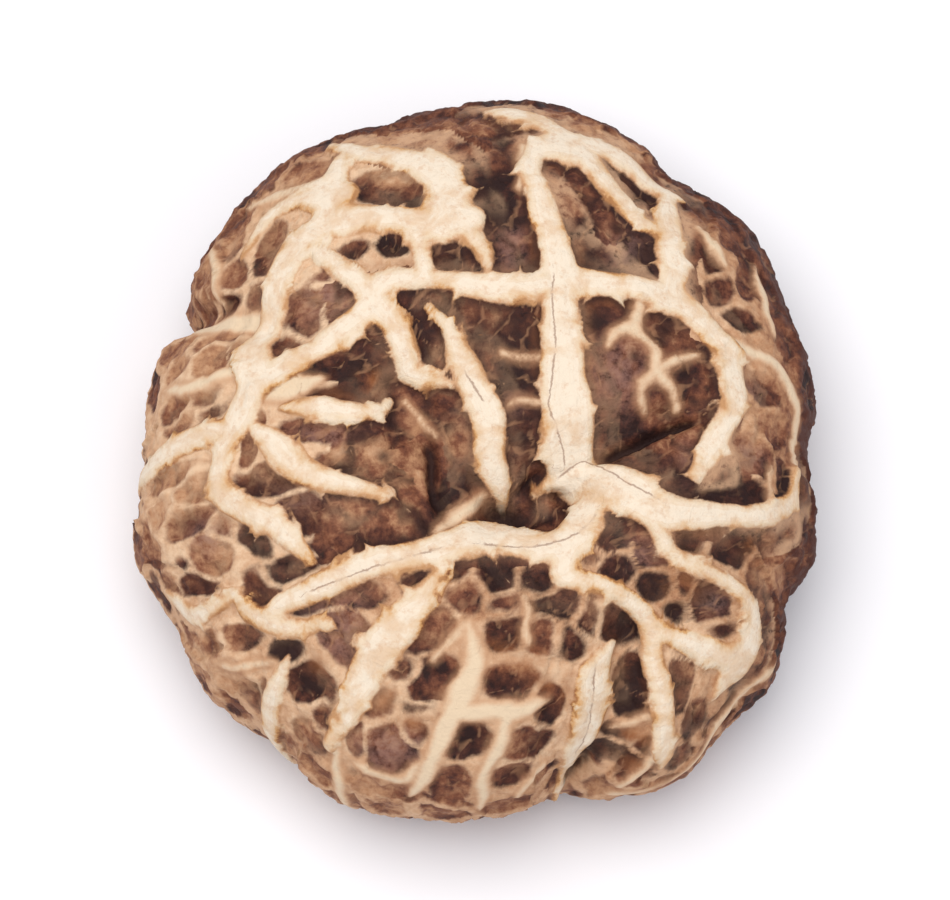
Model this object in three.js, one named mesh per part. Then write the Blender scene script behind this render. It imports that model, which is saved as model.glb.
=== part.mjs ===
// A dried flower shiitake: a thick cushion-shaped cap with a lobed rim that rolls in under itself,
// a creased navel in its crown, a recessed gill face and a short cut stem. It grew as one piece, so it
// is one closed solid. Millimetres, +Z up. The cap rests on its rolled rim, with the origin at the
// centre of that base.
import * as THREE from "three";

// ---- Driving dimensions -------------------------------------------------------------------------
const CAP_WIDTH = 52; // across X, before the rim's lobes
const CAP_LENGTH = 56.6; // across Y, before the rim's lobes
const CROWN_HEIGHT = 23; // top of the dome above the surface it rests on
const GIRTH_HEIGHT = 9; // where the cap is widest
const DOME_FLATNESS = 2.7; // 2 is an ellipse, more has a flatter top and a rounder shoulder
const RIM_TUCK = 5.5; // how far the rim's base lies inside the girth
const REST_WIDTH = 1.6; // width of the flat that the rim rests on
const LIP_TUCK = 2.4; // how far the gill mouth lies inside that flat
const MOUTH_HEIGHT = 4.5; // where the gills begin, at the lip
const GILL_ROOT_HEIGHT = 10.5; // where the gills meet the stem
const GILL_SAG = 0.8; // how far the gill face hangs below a straight cone
const STEM_ROOT_RADIUS = 5.4;
const STEM_CUT_RADIUS = 4.2;
const STEM_CUT_HEIGHT = 3; // the cut end stays clear of the surface
const STEM_EDGE = 0.6; // bevel round the cut
const STEM_CLEARANCE = 1; // this far out from the stem's root, the gill face is still round
const LOBE_FADE = 2; // this far inside the mouth, the gill face is a smooth oval

// ---- Mesh steps ---------------------------------------------------------------------------------
const TURN_STEPS = 120;
const DOME_STEPS = 16;
const ROLL_STEPS = 5;
const LIP_STEPS = 3;
const GILL_STEPS = 4;

// Bulges (height > 0) and notches (height < 0) of the rim: angle from +X and spread in degrees.
const RIM_LOBES = [
  { angle: 0, height: -0.9, spread: 6 },
  { angle: 20, height: 0.2, spread: 8 },
  { angle: 40, height: 0.8, spread: 8 },
  { angle: 56, height: -0.9, spread: 5 },
  { angle: 78, height: 0.6, spread: 12 },
  { angle: 103, height: -0.6, spread: 9 },
  { angle: 124, height: 0.4, spread: 10 },
  { angle: 148, height: -0.2, spread: 10 },
  { angle: 156, height: -1.6, spread: 4 },
  { angle: 172, height: -0.3, spread: 9 },
  { angle: 196, height: 1.1, spread: 9 },
  { angle: 221, height: 0.6, spread: 7 },
  { angle: 236, height: -0.3, spread: 5 },
  { angle: 249, height: 0.6, spread: 9 },
  { angle: 277, height: -0.6, spread: 8 },
  { angle: 284, height: -0.8, spread: 4 },
  { angle: 302, height: 1.5, spread: 9 },
  { angle: 321, height: 1.4, spread: 8 },
  { angle: 336, height: -0.6, spread: 4 },
  { angle: 342, height: 0.6, spread: 6 },
];

// Between its feet the rim arches off the surface.
const RIM_ARCHES = [
  { angle: 56, height: 1.1, spread: 16 },
  { angle: 156, height: 1.2, spread: 15 },
  { angle: 222, height: 0.8, spread: 14 },
  { angle: 284, height: 1.2, spread: 14 },
];
const ARCH_CUTOFF = 0.1; // an arch lower than this rests flat

// Points on the skin are [right, back], measured along it from the crown.
const BOWL = { centre: [3.5, -5.8], depth: 1.6, width: 9 };
const CREASES = [
  { route: [[1, -6.8], [4, -6.2], [7, -5.8]], depth: 2.2, width: 2.9 }, // the navel
  { route: [[7, -4.6], [10.5, -2.6], [15.5, -0.3]], depth: 1.9, width: 2.5 }, // right of the navel
  { route: [[-1.5, -7.5], [-3.3, -4.5], [-5, -1], [-6, 2]], depth: 1.3, width: 2.5 }, // left of it
  { route: [[11, -17], [10.5, -24], [9, -31]], depth: 1.6, width: 2.8 }, // the fold down to the front
  { route: [[-29, 14], [-23, 10], [-18, 9]], depth: 1, width: 3 }, // up from the rim's left notch
];

// ---- Form ---------------------------------------------------------------------------------------
const meanRadius = (CAP_WIDTH + CAP_LENGTH) / 4;
const restOuter = meanRadius - RIM_TUCK;
const restInner = restOuter - REST_WIDTH;
const mouthRadius = restInner - LIP_TUCK;

const bell = (distance, spread) => Math.exp(-((distance / spread) ** 2));

const bumpsAt = (bumps, angle) => {
  let total = 0;
  for (const bump of bumps) {
    const apart = THREE.MathUtils.euclideanModulo(
      THREE.MathUtils.radToDeg(angle) - bump.angle + 180,
      360,
    );
    total += bump.height * bell(apart - 180, bump.spread);
  }
  return total;
};

const ovalRadius = (angle) =>
  1 / Math.hypot(Math.cos(angle) / (CAP_WIDTH / 2), Math.sin(angle) / (CAP_LENGTH / 2));

const archHeight = (angle) => Math.max(0, bumpsAt(RIM_ARCHES, angle) - ARCH_CUTOFF);

const distanceToRoute = (point, route) => {
  const foot = new THREE.Vector3();
  let nearest = Infinity;
  for (let i = 1; i < route.length; i += 1) {
    const start = new THREE.Vector3(...route[i - 1], 0);
    const end = new THREE.Vector3(...route[i], 0);
    new THREE.Line3(start, end).closestPointToPoint(point, true, foot);
    nearest = Math.min(nearest, foot.distanceTo(point));
  }
  return nearest;
};

// Where creases meet, the deeper one counts.
const sinkAt = (right, back) => {
  const point = new THREE.Vector3(right, back, 0);
  const fromBowl = point.distanceTo(new THREE.Vector3(...BOWL.centre, 0));
  const creases = CREASES.map(
    ({ route, depth, width }) => depth * bell(distanceToRoute(point, route), width),
  );
  return BOWL.depth * bell(fromBowl, BOWL.width) + Math.max(...creases);
};

// ---- Profile ------------------------------------------------------------------------------------
// The profile runs from the crown, over the dome, under the rolled rim and across the gills to the
// cut end of the stem. Each stretch is a list of [radius, height] points without its own first point.
const quarterTurns = (steps) =>
  Array.from({ length: steps }, (_, i) => ((i + 1) / steps) * (Math.PI / 2));

const domePoints = () => {
  const fine = [0, ...quarterTurns(10 * DOME_STEPS)].map((slope) => {
    const share = Math.sin(slope) ** (2 / DOME_FLATNESS);
    const rise = Math.sqrt(Math.max(0, 1 - share ** DOME_FLATNESS));
    return new THREE.Vector2(meanRadius * share, rise);
  });
  for (const point of fine) point.y = GIRTH_HEIGHT + (CROWN_HEIGHT - GIRTH_HEIGHT) * point.y;
  const evenly = new THREE.SplineCurve(fine).getSpacedPoints(DOME_STEPS);
  return evenly.slice(1).map(({ x, y }) => [x, y]);
};

const rollPoints = () => [
  ...quarterTurns(ROLL_STEPS).map((turn) => [
    restOuter + RIM_TUCK * Math.cos(turn),
    GIRTH_HEIGHT * (1 - Math.sin(turn)),
  ]),
  [restInner, 0],
];

const lipPoints = () =>
  quarterTurns(LIP_STEPS).map((turn) => [
    restInner - LIP_TUCK * Math.sin(turn),
    MOUTH_HEIGHT * (1 - Math.cos(turn)),
  ]);

const gillPoints = () =>
  Array.from({ length: GILL_STEPS }, (_, i) => {
    const share = (i + 1) / GILL_STEPS;
    const cone = MOUTH_HEIGHT + (GILL_ROOT_HEIGHT - MOUTH_HEIGHT) * share;
    const sag = GILL_SAG * Math.sin(Math.PI * share);
    return [mouthRadius + (STEM_ROOT_RADIUS - mouthRadius) * share, cone - sag];
  });

const stemPoints = () => [
  [STEM_CUT_RADIUS, STEM_CUT_HEIGHT + STEM_EDGE],
  [STEM_CUT_RADIUS - STEM_EDGE, STEM_CUT_HEIGHT],
  [0, STEM_CUT_HEIGHT],
];

// Every row knows its stretch, and its length along the skin from the crown.
const rows = [{ radius: 0, height: CROWN_HEIGHT, stretch: "dome", skin: 0 }];
const addRows = (stretch, points) => {
  for (const [radius, height] of points) {
    const last = rows[rows.length - 1];
    const step = Math.hypot(radius - last.radius, height - last.height);
    rows.push({ radius, height, stretch, skin: last.skin + step });
  }
};
addRows("dome", domePoints());
addRows("roll", rollPoints());
addRows("lip", lipPoints());
addRows("gills", gillPoints());
addRows("stem", stemPoints());

// ---- Solid --------------------------------------------------------------------------------------
// How far a point moves out, so that the round cap takes its oval, lobed outline.
const outwardShift = ({ radius, stretch }, angle) => {
  const oval = ovalRadius(angle) - meanRadius;
  const lobes = bumpsAt(RIM_LOBES, angle);
  if (stretch === "dome") {
    const share = radius / meanRadius;
    return oval * share + lobes * share ** 3;
  }
  const roundTo = STEM_ROOT_RADIUS + STEM_CLEARANCE;
  const smoothTo = mouthRadius - LOBE_FADE;
  return (
    oval * THREE.MathUtils.smoothstep(radius, roundTo, mouthRadius) +
    lobes * THREE.MathUtils.smoothstep(radius, smoothTo, restOuter)
  );
};

// Where the rim arches, its base lifts. The lift fades out by the girth and by the gill mouth.
const upwardShift = ({ height, stretch }, angle) => {
  if (stretch !== "roll" && stretch !== "lip") return 0;
  const limit = stretch === "lip" ? MOUTH_HEIGHT : GIRTH_HEIGHT;
  return archHeight(angle) * (1 - THREE.MathUtils.smoothstep(height, 0, limit));
};

// The bowl and the creases sink the dome, and die out on the way down to the rim's base.
const inwardShift = ({ height, stretch, skin }, angle) => {
  if (stretch !== "dome" && stretch !== "roll") return 0;
  const fade = stretch === "dome" ? 1 : THREE.MathUtils.smoothstep(height, 0, GIRTH_HEIGHT);
  return fade * sinkAt(skin * Math.cos(angle), skin * Math.sin(angle));
};

// A lathe with the rows from the stem up to the crown faces outwards. Its axis is stood up along +Z.
const turned = () => {
  const upwards = [...rows].reverse();
  const outline = upwards.map(({ radius, height }) => new THREE.Vector2(radius, height));
  const lathe = new THREE.LatheGeometry(outline, TURN_STEPS);
  const { position, normal } = lathe.attributes;
  for (let i = 0; i < position.count; i += 1) {
    const row = upwards[i % upwards.length];
    const angle = (Math.floor(i / upwards.length) / TURN_STEPS) * 2 * Math.PI;
    const inward = inwardShift(row, angle);
    const sideways = row.radius > 0 ? Math.hypot(normal.getX(i), normal.getZ(i)) : 0;
    const out = row.radius + outwardShift(row, angle) - inward * sideways;
    const up = row.height + upwardShift(row, angle) - inward * normal.getY(i);
    position.setXYZ(i, out * Math.cos(angle), out * Math.sin(angle), up);
  }
  return lathe;
};

const centreOnBase = (geometry) => {
  geometry.computeBoundingBox();
  const { min, max } = geometry.boundingBox;
  geometry.translate(-(min.x + max.x) / 2, -(min.y + max.y) / 2, -min.z);
  geometry.computeVertexNormals();
  return geometry;
};

const dryCap = new THREE.MeshStandardMaterial({ color: 0x8a6a50, roughness: 0.85, metalness: 0 });

const mushroom = new THREE.Mesh(centreOnBase(turned()), dryCap);
mushroom.name = "mushroom";

const shiitake = new THREE.Group();
shiitake.add(mushroom);

export default shiitake;
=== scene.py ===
from math import cos, pi, radians, sin

import bpy
import numpy as np
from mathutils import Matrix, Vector


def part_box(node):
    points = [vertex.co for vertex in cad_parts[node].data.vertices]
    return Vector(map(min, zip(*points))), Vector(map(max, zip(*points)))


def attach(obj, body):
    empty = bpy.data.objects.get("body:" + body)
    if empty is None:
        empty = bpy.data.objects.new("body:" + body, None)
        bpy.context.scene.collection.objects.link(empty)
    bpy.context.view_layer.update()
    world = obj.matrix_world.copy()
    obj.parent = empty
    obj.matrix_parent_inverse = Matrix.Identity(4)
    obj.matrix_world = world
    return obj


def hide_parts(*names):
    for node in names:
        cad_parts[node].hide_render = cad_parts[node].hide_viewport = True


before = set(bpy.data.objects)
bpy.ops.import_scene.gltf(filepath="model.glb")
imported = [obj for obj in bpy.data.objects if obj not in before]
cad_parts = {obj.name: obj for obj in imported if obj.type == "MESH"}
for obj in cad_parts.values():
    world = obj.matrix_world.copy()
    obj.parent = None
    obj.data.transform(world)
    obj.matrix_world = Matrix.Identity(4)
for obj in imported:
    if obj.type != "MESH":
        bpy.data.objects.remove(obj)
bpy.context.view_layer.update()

# A dried flower shiitake. One closed skin runs from the crown, over the dome, round the rolled
# rim, across the gills and down the stem to its cut end. Lengths are millimetres until the mesh is
# written in metres. A place on the cap's skin is (right, back): the way along it from the crown.

# ---- Form, as in the CAD ------------------------------------------------------------------------
CAP_WIDTH, CAP_LENGTH = 52.0, 56.6
CROWN_HEIGHT, GIRTH_HEIGHT = 23.0, 9.0
DOME_FLATNESS = 2.7
RIM_TUCK, REST_WIDTH, LIP_TUCK = 5.5, 1.6, 2.4
MOUTH_HEIGHT, GILL_ROOT_HEIGHT, GILL_SAG = 4.5, 10.5, 0.8
STEM_ROOT_RADIUS, STEM_CUT_RADIUS = 5.4, 4.2
STEM_CUT_HEIGHT, STEM_EDGE = 3.0, 0.6
STEM_CLEARANCE, LOBE_FADE = 1.0, 2.0
MEAN_RADIUS = (CAP_WIDTH + CAP_LENGTH) / 4
REST_OUTER = MEAN_RADIUS - RIM_TUCK
REST_INNER = REST_OUTER - REST_WIDTH
MOUTH_RADIUS = REST_INNER - LIP_TUCK

# (angle from +X, height, spread) of the rim's bulges and notches, and of its arches.
RIM_LOBES = (
    (0, -0.9, 6), (20, 0.2, 8), (40, 0.8, 8), (56, -0.9, 5), (78, 0.6, 12), (103, -0.6, 9),
    (124, 0.4, 10), (148, -0.2, 10), (156, -1.6, 4), (172, -0.3, 9), (196, 1.1, 9), (221, 0.6, 7),
    (236, -0.3, 5), (249, 0.6, 9), (277, -0.6, 8), (284, -0.8, 4), (302, 1.5, 9), (321, 1.4, 8),
    (336, -0.6, 4), (342, 0.6, 6),
)
RIM_ARCHES = ((56, 1.1, 16), (156, 1.2, 15), (222, 0.8, 14), (284, 1.2, 14))
ARCH_CUTOFF = 0.1

# Hollows: (route, depth, width of the bell).
BOWL_CENTRE, BOWL_DEPTH, BOWL_WIDTH = (3.5, -5.8), 1.6, 9.0
CREASES = (
    (((1, -6.8), (4, -6.2), (7, -5.8)), 2.2, 2.9),
    (((7, -4.6), (10.5, -2.6), (15.5, -0.3)), 1.7, 2.5),
    (((-1.5, -7.5), (-3.3, -4.5), (-5, -1), (-6, 2)), 1.3, 2.5),
    (((11, -17), (10.5, -24), (9, -31)), 1.6, 2.8),
    (((-29, 14), (-23, 10), (-18, 9)), 1, 3),
)
# Narrow folds on top of them.
SLITS = (
    (((0.3, -6.6), (1.5, -6.9), (3, -7.1), (4, -7.4)), 1.2, 0.6),
    (((4.8, -5.9), (6.2, -5.9), (7.5, -6.4)), 0.7, 0.4),
    (((9.4, -3.3), (11, -2.7), (12.5, -2.1), (14, -1.5), (16, -0.6), (18.5, 0.2)), 1.3, 0.36),
    (((-4.4, -1.6), (-3.8, -3), (-3.5, -4.6), (-3.3, -6), (-2.7, -7.6)), 1.1, 0.5),
    (((2.4, -6), (3.4, -5.4), (4.4, -4.7), (5.2, -4.3)), 0.9, 0.38),
    (((5.5, -4.6), (7, -4.1), (8.5, -3.7), (9.6, -3.2)), 0.5, 0.28),
    (((6.4, -7), (6.2, -7.9), (5.4, -8.5)), 0.6, 0.4),
    (((0.5, -17.7), (2.3, -18.4), (4, -18.5), (6, -18.9), (7.8, -19), (9, -18.2)), 0.45, 0.45),
    (((9.4, -27.5), (9.5, -30), (9, -32), (8.4, -34.5)), 0.9, 0.6),
    (((-29, 14), (-24, 12.2), (-20, 11.3)), 0.5, 0.7),
    (((23.2, -8.2), (24, -9.8), (25.2, -11)), 0.35, 0.4),
)

# The navel's pits: (right, back, half length across, half length back).
NAVEL_HOLES = ((1.8, -7, 1.5, 0.6), (3.8, -7.2, 1.7, 1), (5.3, -7.4, 1.1, 1), (6.4, -6.3, 1, 0.6))

# ---- Cracks that show the flesh -----------------------------------------------------------------
# Each route is (right, back, width) points along a crack where the skin has split.
CREAM_BANDS = (
    # the long one from the back to the navel, and its branches at the back
    ((3.8, 20, 1.4), (4.6, 16.5, 2), (5.9, 12, 2.4), (6.1, 8, 2.6), (6.4, 5, 3.2), (7, 0, 3.9),
     (7.2, -3.8, 3.4)),
    ((4, 19.5, 1.2), (4.3, 21.5, 1.8), (6.5, 22.3, 3.2), (8, 22, 2), (8.9, 20.7, 2),
     (10.2, 19.1, 1.8), (11.7, 17.8, 1.6), (13.4, 16, 0.8)),
    ((2, 26.3, 1.4), (4.5, 25.3, 1.6), (6.3, 24, 1.8), (8, 23.2, 2.2), (10.3, 23, 2),
     (13.4, 21.6, 1.8), (15.4, 20.4, 1.4)),
    # right of it
    ((7, 10.4, 2), (11, 10.2, 1.8), (15, 9.4, 2.2)),
    ((15.2, 19.3, 1.4), (14.9, 16.5, 2.1), (15, 12, 2.2), (15.2, 10, 2.3), (17, 8.8, 1.9),
     (19.5, 6.3, 1.8), (20.5, 4.6, 2), (20.9, 2.6, 2.1), (20.7, 0.5, 2.1), (18.9, -2.9, 1.5),
     (17.1, -5, 0.4)),
    ((28.2, -3, 1.2), (27.3, -5, 1.4), (25.8, -6.5, 1.5), (24, -7.3, 1.6)),
    # the long loop on the left
    ((-2.6, 14.8, 3), (-2.4, 17, 3), (-2.6, 19, 2.4), (-3.3, 21, 1.5)),
    ((-1, 14.5, 1.6), (-0.1, 13, 1.2), (0.3, 11.6, 0.7)),
    ((-1, 14.8, 2.2), (-5.5, 15.2, 2.2), (-10.5, 15.7, 2.4), (-12.8, 15.3, 2.4), (-14.6, 14, 2.6),
     (-16.6, 10.5, 2.3), (-18.2, 7, 2.7), (-18.4, 3, 2.9), (-20.2, -1, 2.1), (-20.9, -3, 1.9),
     (-20.4, -5.6, 2), (-18, -7.6, 2.1), (-16, -8.7, 2), (-13.8, -10.6, 0.8)),
    ((-10.8, 18.2, 2.6), (-12.6, 18.6, 2.6), (-14.5, 18.9, 1.5), (-17, 18.2, 1.3),
     (-19, 15.6, 0.7)),
    ((-11.8, 16.3, 2), (-11.4, 19.5, 1.8), (-10.6, 22, 1.3)),
    ((-10.6, 24, 1.4), (-9.3, 23, 2), (-7.2, 22.4, 2), (-5, 21.2, 2.2), (-3.2, 19, 1.6)),
    ((-4, 14.3, 1.4), (-4.2, 12.3, 1.2), (-4, 10.8, 1.4)),
    # the web inside it
    ((5, 9.8, 1.4), (3, 9.1, 1.6), (1, 9.2, 1.7), (-3, 10.3, 1.3), (-7, 10.3, 1.8),
     (-8.3, 9.8, 2.2)),
    ((-11.8, 12.8, 1), (-10.6, 11.9, 1.6), (-8.6, 9.8, 1.8)),
    ((-8.3, 9.6, 2.2), (-6.9, 7, 2), (-5.8, 4.5, 1.8), (-5.3, 3.3, 1.7), (-3.1, 2.3, 0.7)),
    ((-8.4, 8.3, 2), (-9.6, 7.3, 1.9), (-13.2, 5.2, 1.5), (-16.5, 3.4, 2), (-18.2, 3, 2)),
    ((-3.6, 7.8, 0.5), (-2.2, 6, 1), (-1.3, 3.8, 2), (0, 1.2, 2.3), (0.5, 0, 2.6),
     (1.2, -3.8, 2.1), (1.5, -5.2, 1.3)),
    ((-14.6, 0.6, 1), (-12.8, 0.3, 1.9), (-11, 0, 1.6), (-7.9, 0.1, 0.8), (-7.2, 1, 0.4)),
    ((-17.6, -1.2, 1.5), (-15.8, -2.8, 2.2), (-12.8, -5.2, 1.8), (-9.2, -6.4, 1.3),
     (-7.2, -6.8, 0.5)),
    ((-20.8, -0.6, 1.6), (-25.5, -1.3, 2.4), (-30, -2.5, 1.6), (-35, -3.2, 1)),
    # right of the navel
    ((4.6, -5.6, 0.4), (6.2, -5, 1.2), (8.2, -4.8, 2.2), (10, -5.4, 3.2), (12, -6.2, 3.2),
     (14, -7.5, 2.5), (18, -8, 2.1), (24, -7.3, 1.6)),
    # under the navel and away to the left
    ((9, -7, 2.2), (8, -8.8, 2.4), (6.4, -9.9, 2.2), (4, -9.8, 2.2), (0, -9.4, 2.8),
     (-4, -10.7, 2), (-8, -11.9, 2), (-12, -13.2, 2), (-15.6, -15, 1.4)),
    # down to the right
    ((6.2, -10.6, 2), (6.5, -12, 1.9), (8, -12.9, 1.3), (10, -13.6, 1.2), (12.7, -15.4, 1.4),
     (13.5, -19, 1.4), (13.9, -21, 1.5), (14.8, -25.2, 1.6)),
    ((13, -16.2, 1), (15, -16.9, 1.3), (19, -18.2, 2), (20.5, -18, 2)),
    ((13.9, -9, 1.2), (15, -10.8, 1), (18.2, -12.1, 0.9), (20, -12.8, 1.1), (21.5, -13.9, 1.6),
     (22.3, -15.7, 2), (20.8, -18.8, 2.6), (20, -20.5, 1.6)),
    # down to the left
    ((-2.7, -11.6, 0.4), (-4.4, -14.2, 1.8), (-6.3, -16.5, 2.9), (-8.4, -19.2, 2.6),
     (-10, -22.4, 1.5), (-11.8, -25.2, 1)),
    ((-19, -14.6, 0.8), (-17.3, -15.8, 1.3), (-15, -16.5, 1.2), (-11.5, -15.9, 0.3)),
    ((-27.5, -13.8, 1.2), (-25.5, -15, 1.7), (-23.8, -15.5, 1.6), (-20, -13.9, 0.8)),
    ((-15.8, -19.8, 0.8), (-16.8, -21.7, 1.6), (-18.8, -25.8, 1.8), (-19.4, -28, 1.2),
     (-20.5, -33, 0.8)),
    # the ridge down to the front
    ((10.1, -17.4, 0.4), (9, -20.3, 2.3), (8.6, -24.3, 2.6), (8.1, -28.3, 1.5), (7.9, -32.3, 0.7),
     (7.6, -36, 0.5)),
)
# Shallower splits, tan rather than cream.
TAN_RIDGES = (
    ((19.8, 6.8, 1.2), (24, 6.2, 1.2), (26, 5.2, 1.2), (27.7, 3.6, 1.2), (28.6, 1.5, 0.9),
     (28.8, -0.8, 0.8), (28.2, -3, 1)),
    ((23.4, 13.9, 0.9), (23.9, 12, 1.1), (24.2, 10.4, 1), (24.8, 8.8, 0.6)),
    ((17.4, 16.8, 0.6), (18.6, 15.2, 1), (19.7, 13.8, 0.6)),
    ((24.8, -19.8, 0.7), (22.7, -21.3, 0.8), (20, -25.4, 0.8), (17.5, -29.3, 0.8), (13, -32, 0.7)),
    ((-0.6, -15.8, 0.5), (-0.4, -19, 1.5), (-2, -22.3, 1.8), (-3.2, -25.6, 1.3), (-5, -28.8, 1.1)),
    ((-5, -27, 0.7), (-6.2, -28.1, 0.7), (-9, -27, 0.7)),
    ((-1.5, -22.3, 1.4), (2.5, -22.5, 1.4), (4, -22.2, 0.9)),
    ((2, -22.4, 1.1), (1.8, -24.5, 1.1), (0.5, -27.3, 1.1), (0.2, -31, 0.9)),
    ((-1, -16, 0.5), (-3.4, -18.3, 0.5)),
    ((3.3, -14, 0.5), (3.4, -17.4, 0.5)),
    ((13.3, -22.8, 0.5), (10.8, -24.5, 0.5)),
    ((14.2, -25, 0.6), (13.9, -27, 0.6), (12.7, -30.5, 0.6)),
    ((5.3, -28, 0.6), (3.5, -31, 0.6)),
    ((9.8, 5.4, 0.3), (10.6, 6.5, 0.7), (12, 6.9, 0.9), (13.4, 5.9, 0.6), (14.2, 3.4, 0.9),
     (15.4, 2.4, 0.5), (16.4, 1, 0.4)),
    ((14, 3.4, 0.6), (12.8, 2.2, 0.5), (13.4, 0.6, 0.3)),
    ((14.2, 3.6, 0.5), (15.6, 4.6, 0.8), (17.4, 5.2, 0.4)),
    ((12, 6.9, 0.8), (12.2, 8.6, 0.9)),
    ((24.5, -3.5, 0.5), (24.3, -6, 0.5)),
    ((-5.8, 1, 0.2), (-4.5, -0.5, 0.35), (-3.5, -1.6, 0.2)),
    ((1.4, 4.6, 0.2), (3, 4.2, 0.35), (4.6, 4.3, 0.25)),
    ((2.2, 0.7, 0.2), (3.4, 1.1, 0.35), (4.8, 0.9, 0.25)),
    ((3.2, 22, 0.5), (3.1, 18, 0.4)),
    ((-20.5, -19.3, 0.7), (-17.5, -19.2, 0.7)),
    ((-26, 10.6, 1.2), (-23, 10.1, 1.8), (-18.6, 9, 2)),
    ((-18, 2.2, 1.6), (-14.8, 2.3, 1.9), (-12.6, 2.8, 0.6)),
    ((-18.5, 20.4, 0.8), (-15.4, 20.2, 0.9), (-12, 20.2, 0.8)),
    ((-23.5, 17.8, 0.6), (-22.4, 15, 0.9), (-22.8, 12.8, 0.8)),
    ((-26.8, 4.2, 0.8), (-24.4, 3.6, 1.1), (-20, 4.4, 0.9)),
    ((-11.8, -25.2, 0.9), (-11.4, -26.5, 0.9), (-12.1, -30.5, 0.9), (-12.6, -36, 0.7)),
    ((-0.2, -6.4, 0.8), (-2.4, -8.3, 0.8)),
)
# Each crack is this much wider than its route says, on both sides, and fillets where two meet.
BAND_GAIN, BAND_FILLET = 0.17, 0.45
RIDGE_GAIN, RIDGE_FILLET = 0.10, 0.35
# Ends wider than this get a pointed tip.
WIDE_END, TIP_WIDTH = 0.6, 0.1
# Pointed splits along a band's edge: their width there and how much it varies, the way in which
# they narrow, their greatest length, and the fillet where they leave the band.
SPUR_WIDTH, SPUR_CHANGE, SPUR_FADE, SPUR_REACH, SPUR_BLEND = 0.40, 0.36, 0.36, 2.5, 0.4
# Thin dry cracks along the crests of the widest bands.
HAIRLINES = (
    ((5.5, 11), (5.5, 8), (5.8, 5), (5.6, 2), (5.5, 0.5), (6.2, -1.2), (6.7, -3), (6.7, -4)),
    ((-1.3, 3.3), (-0.2, 1.5), (0.4, 0.6)),
    ((6, -4.8), (7.2, -4), (8.5, -3.5), (10, -4.2), (11.6, -5.4), (14.4, -7)),
    ((8.7, -18.6), (8.7, -22), (8.6, -25), (8.2, -28)),
    ((9.4, -7.6), (7.6, -9.4), (4, -10.2), (0, -10)),
    ((-2.5, -10.2), (-8, -12), (-13, -13.8)),
)
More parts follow.
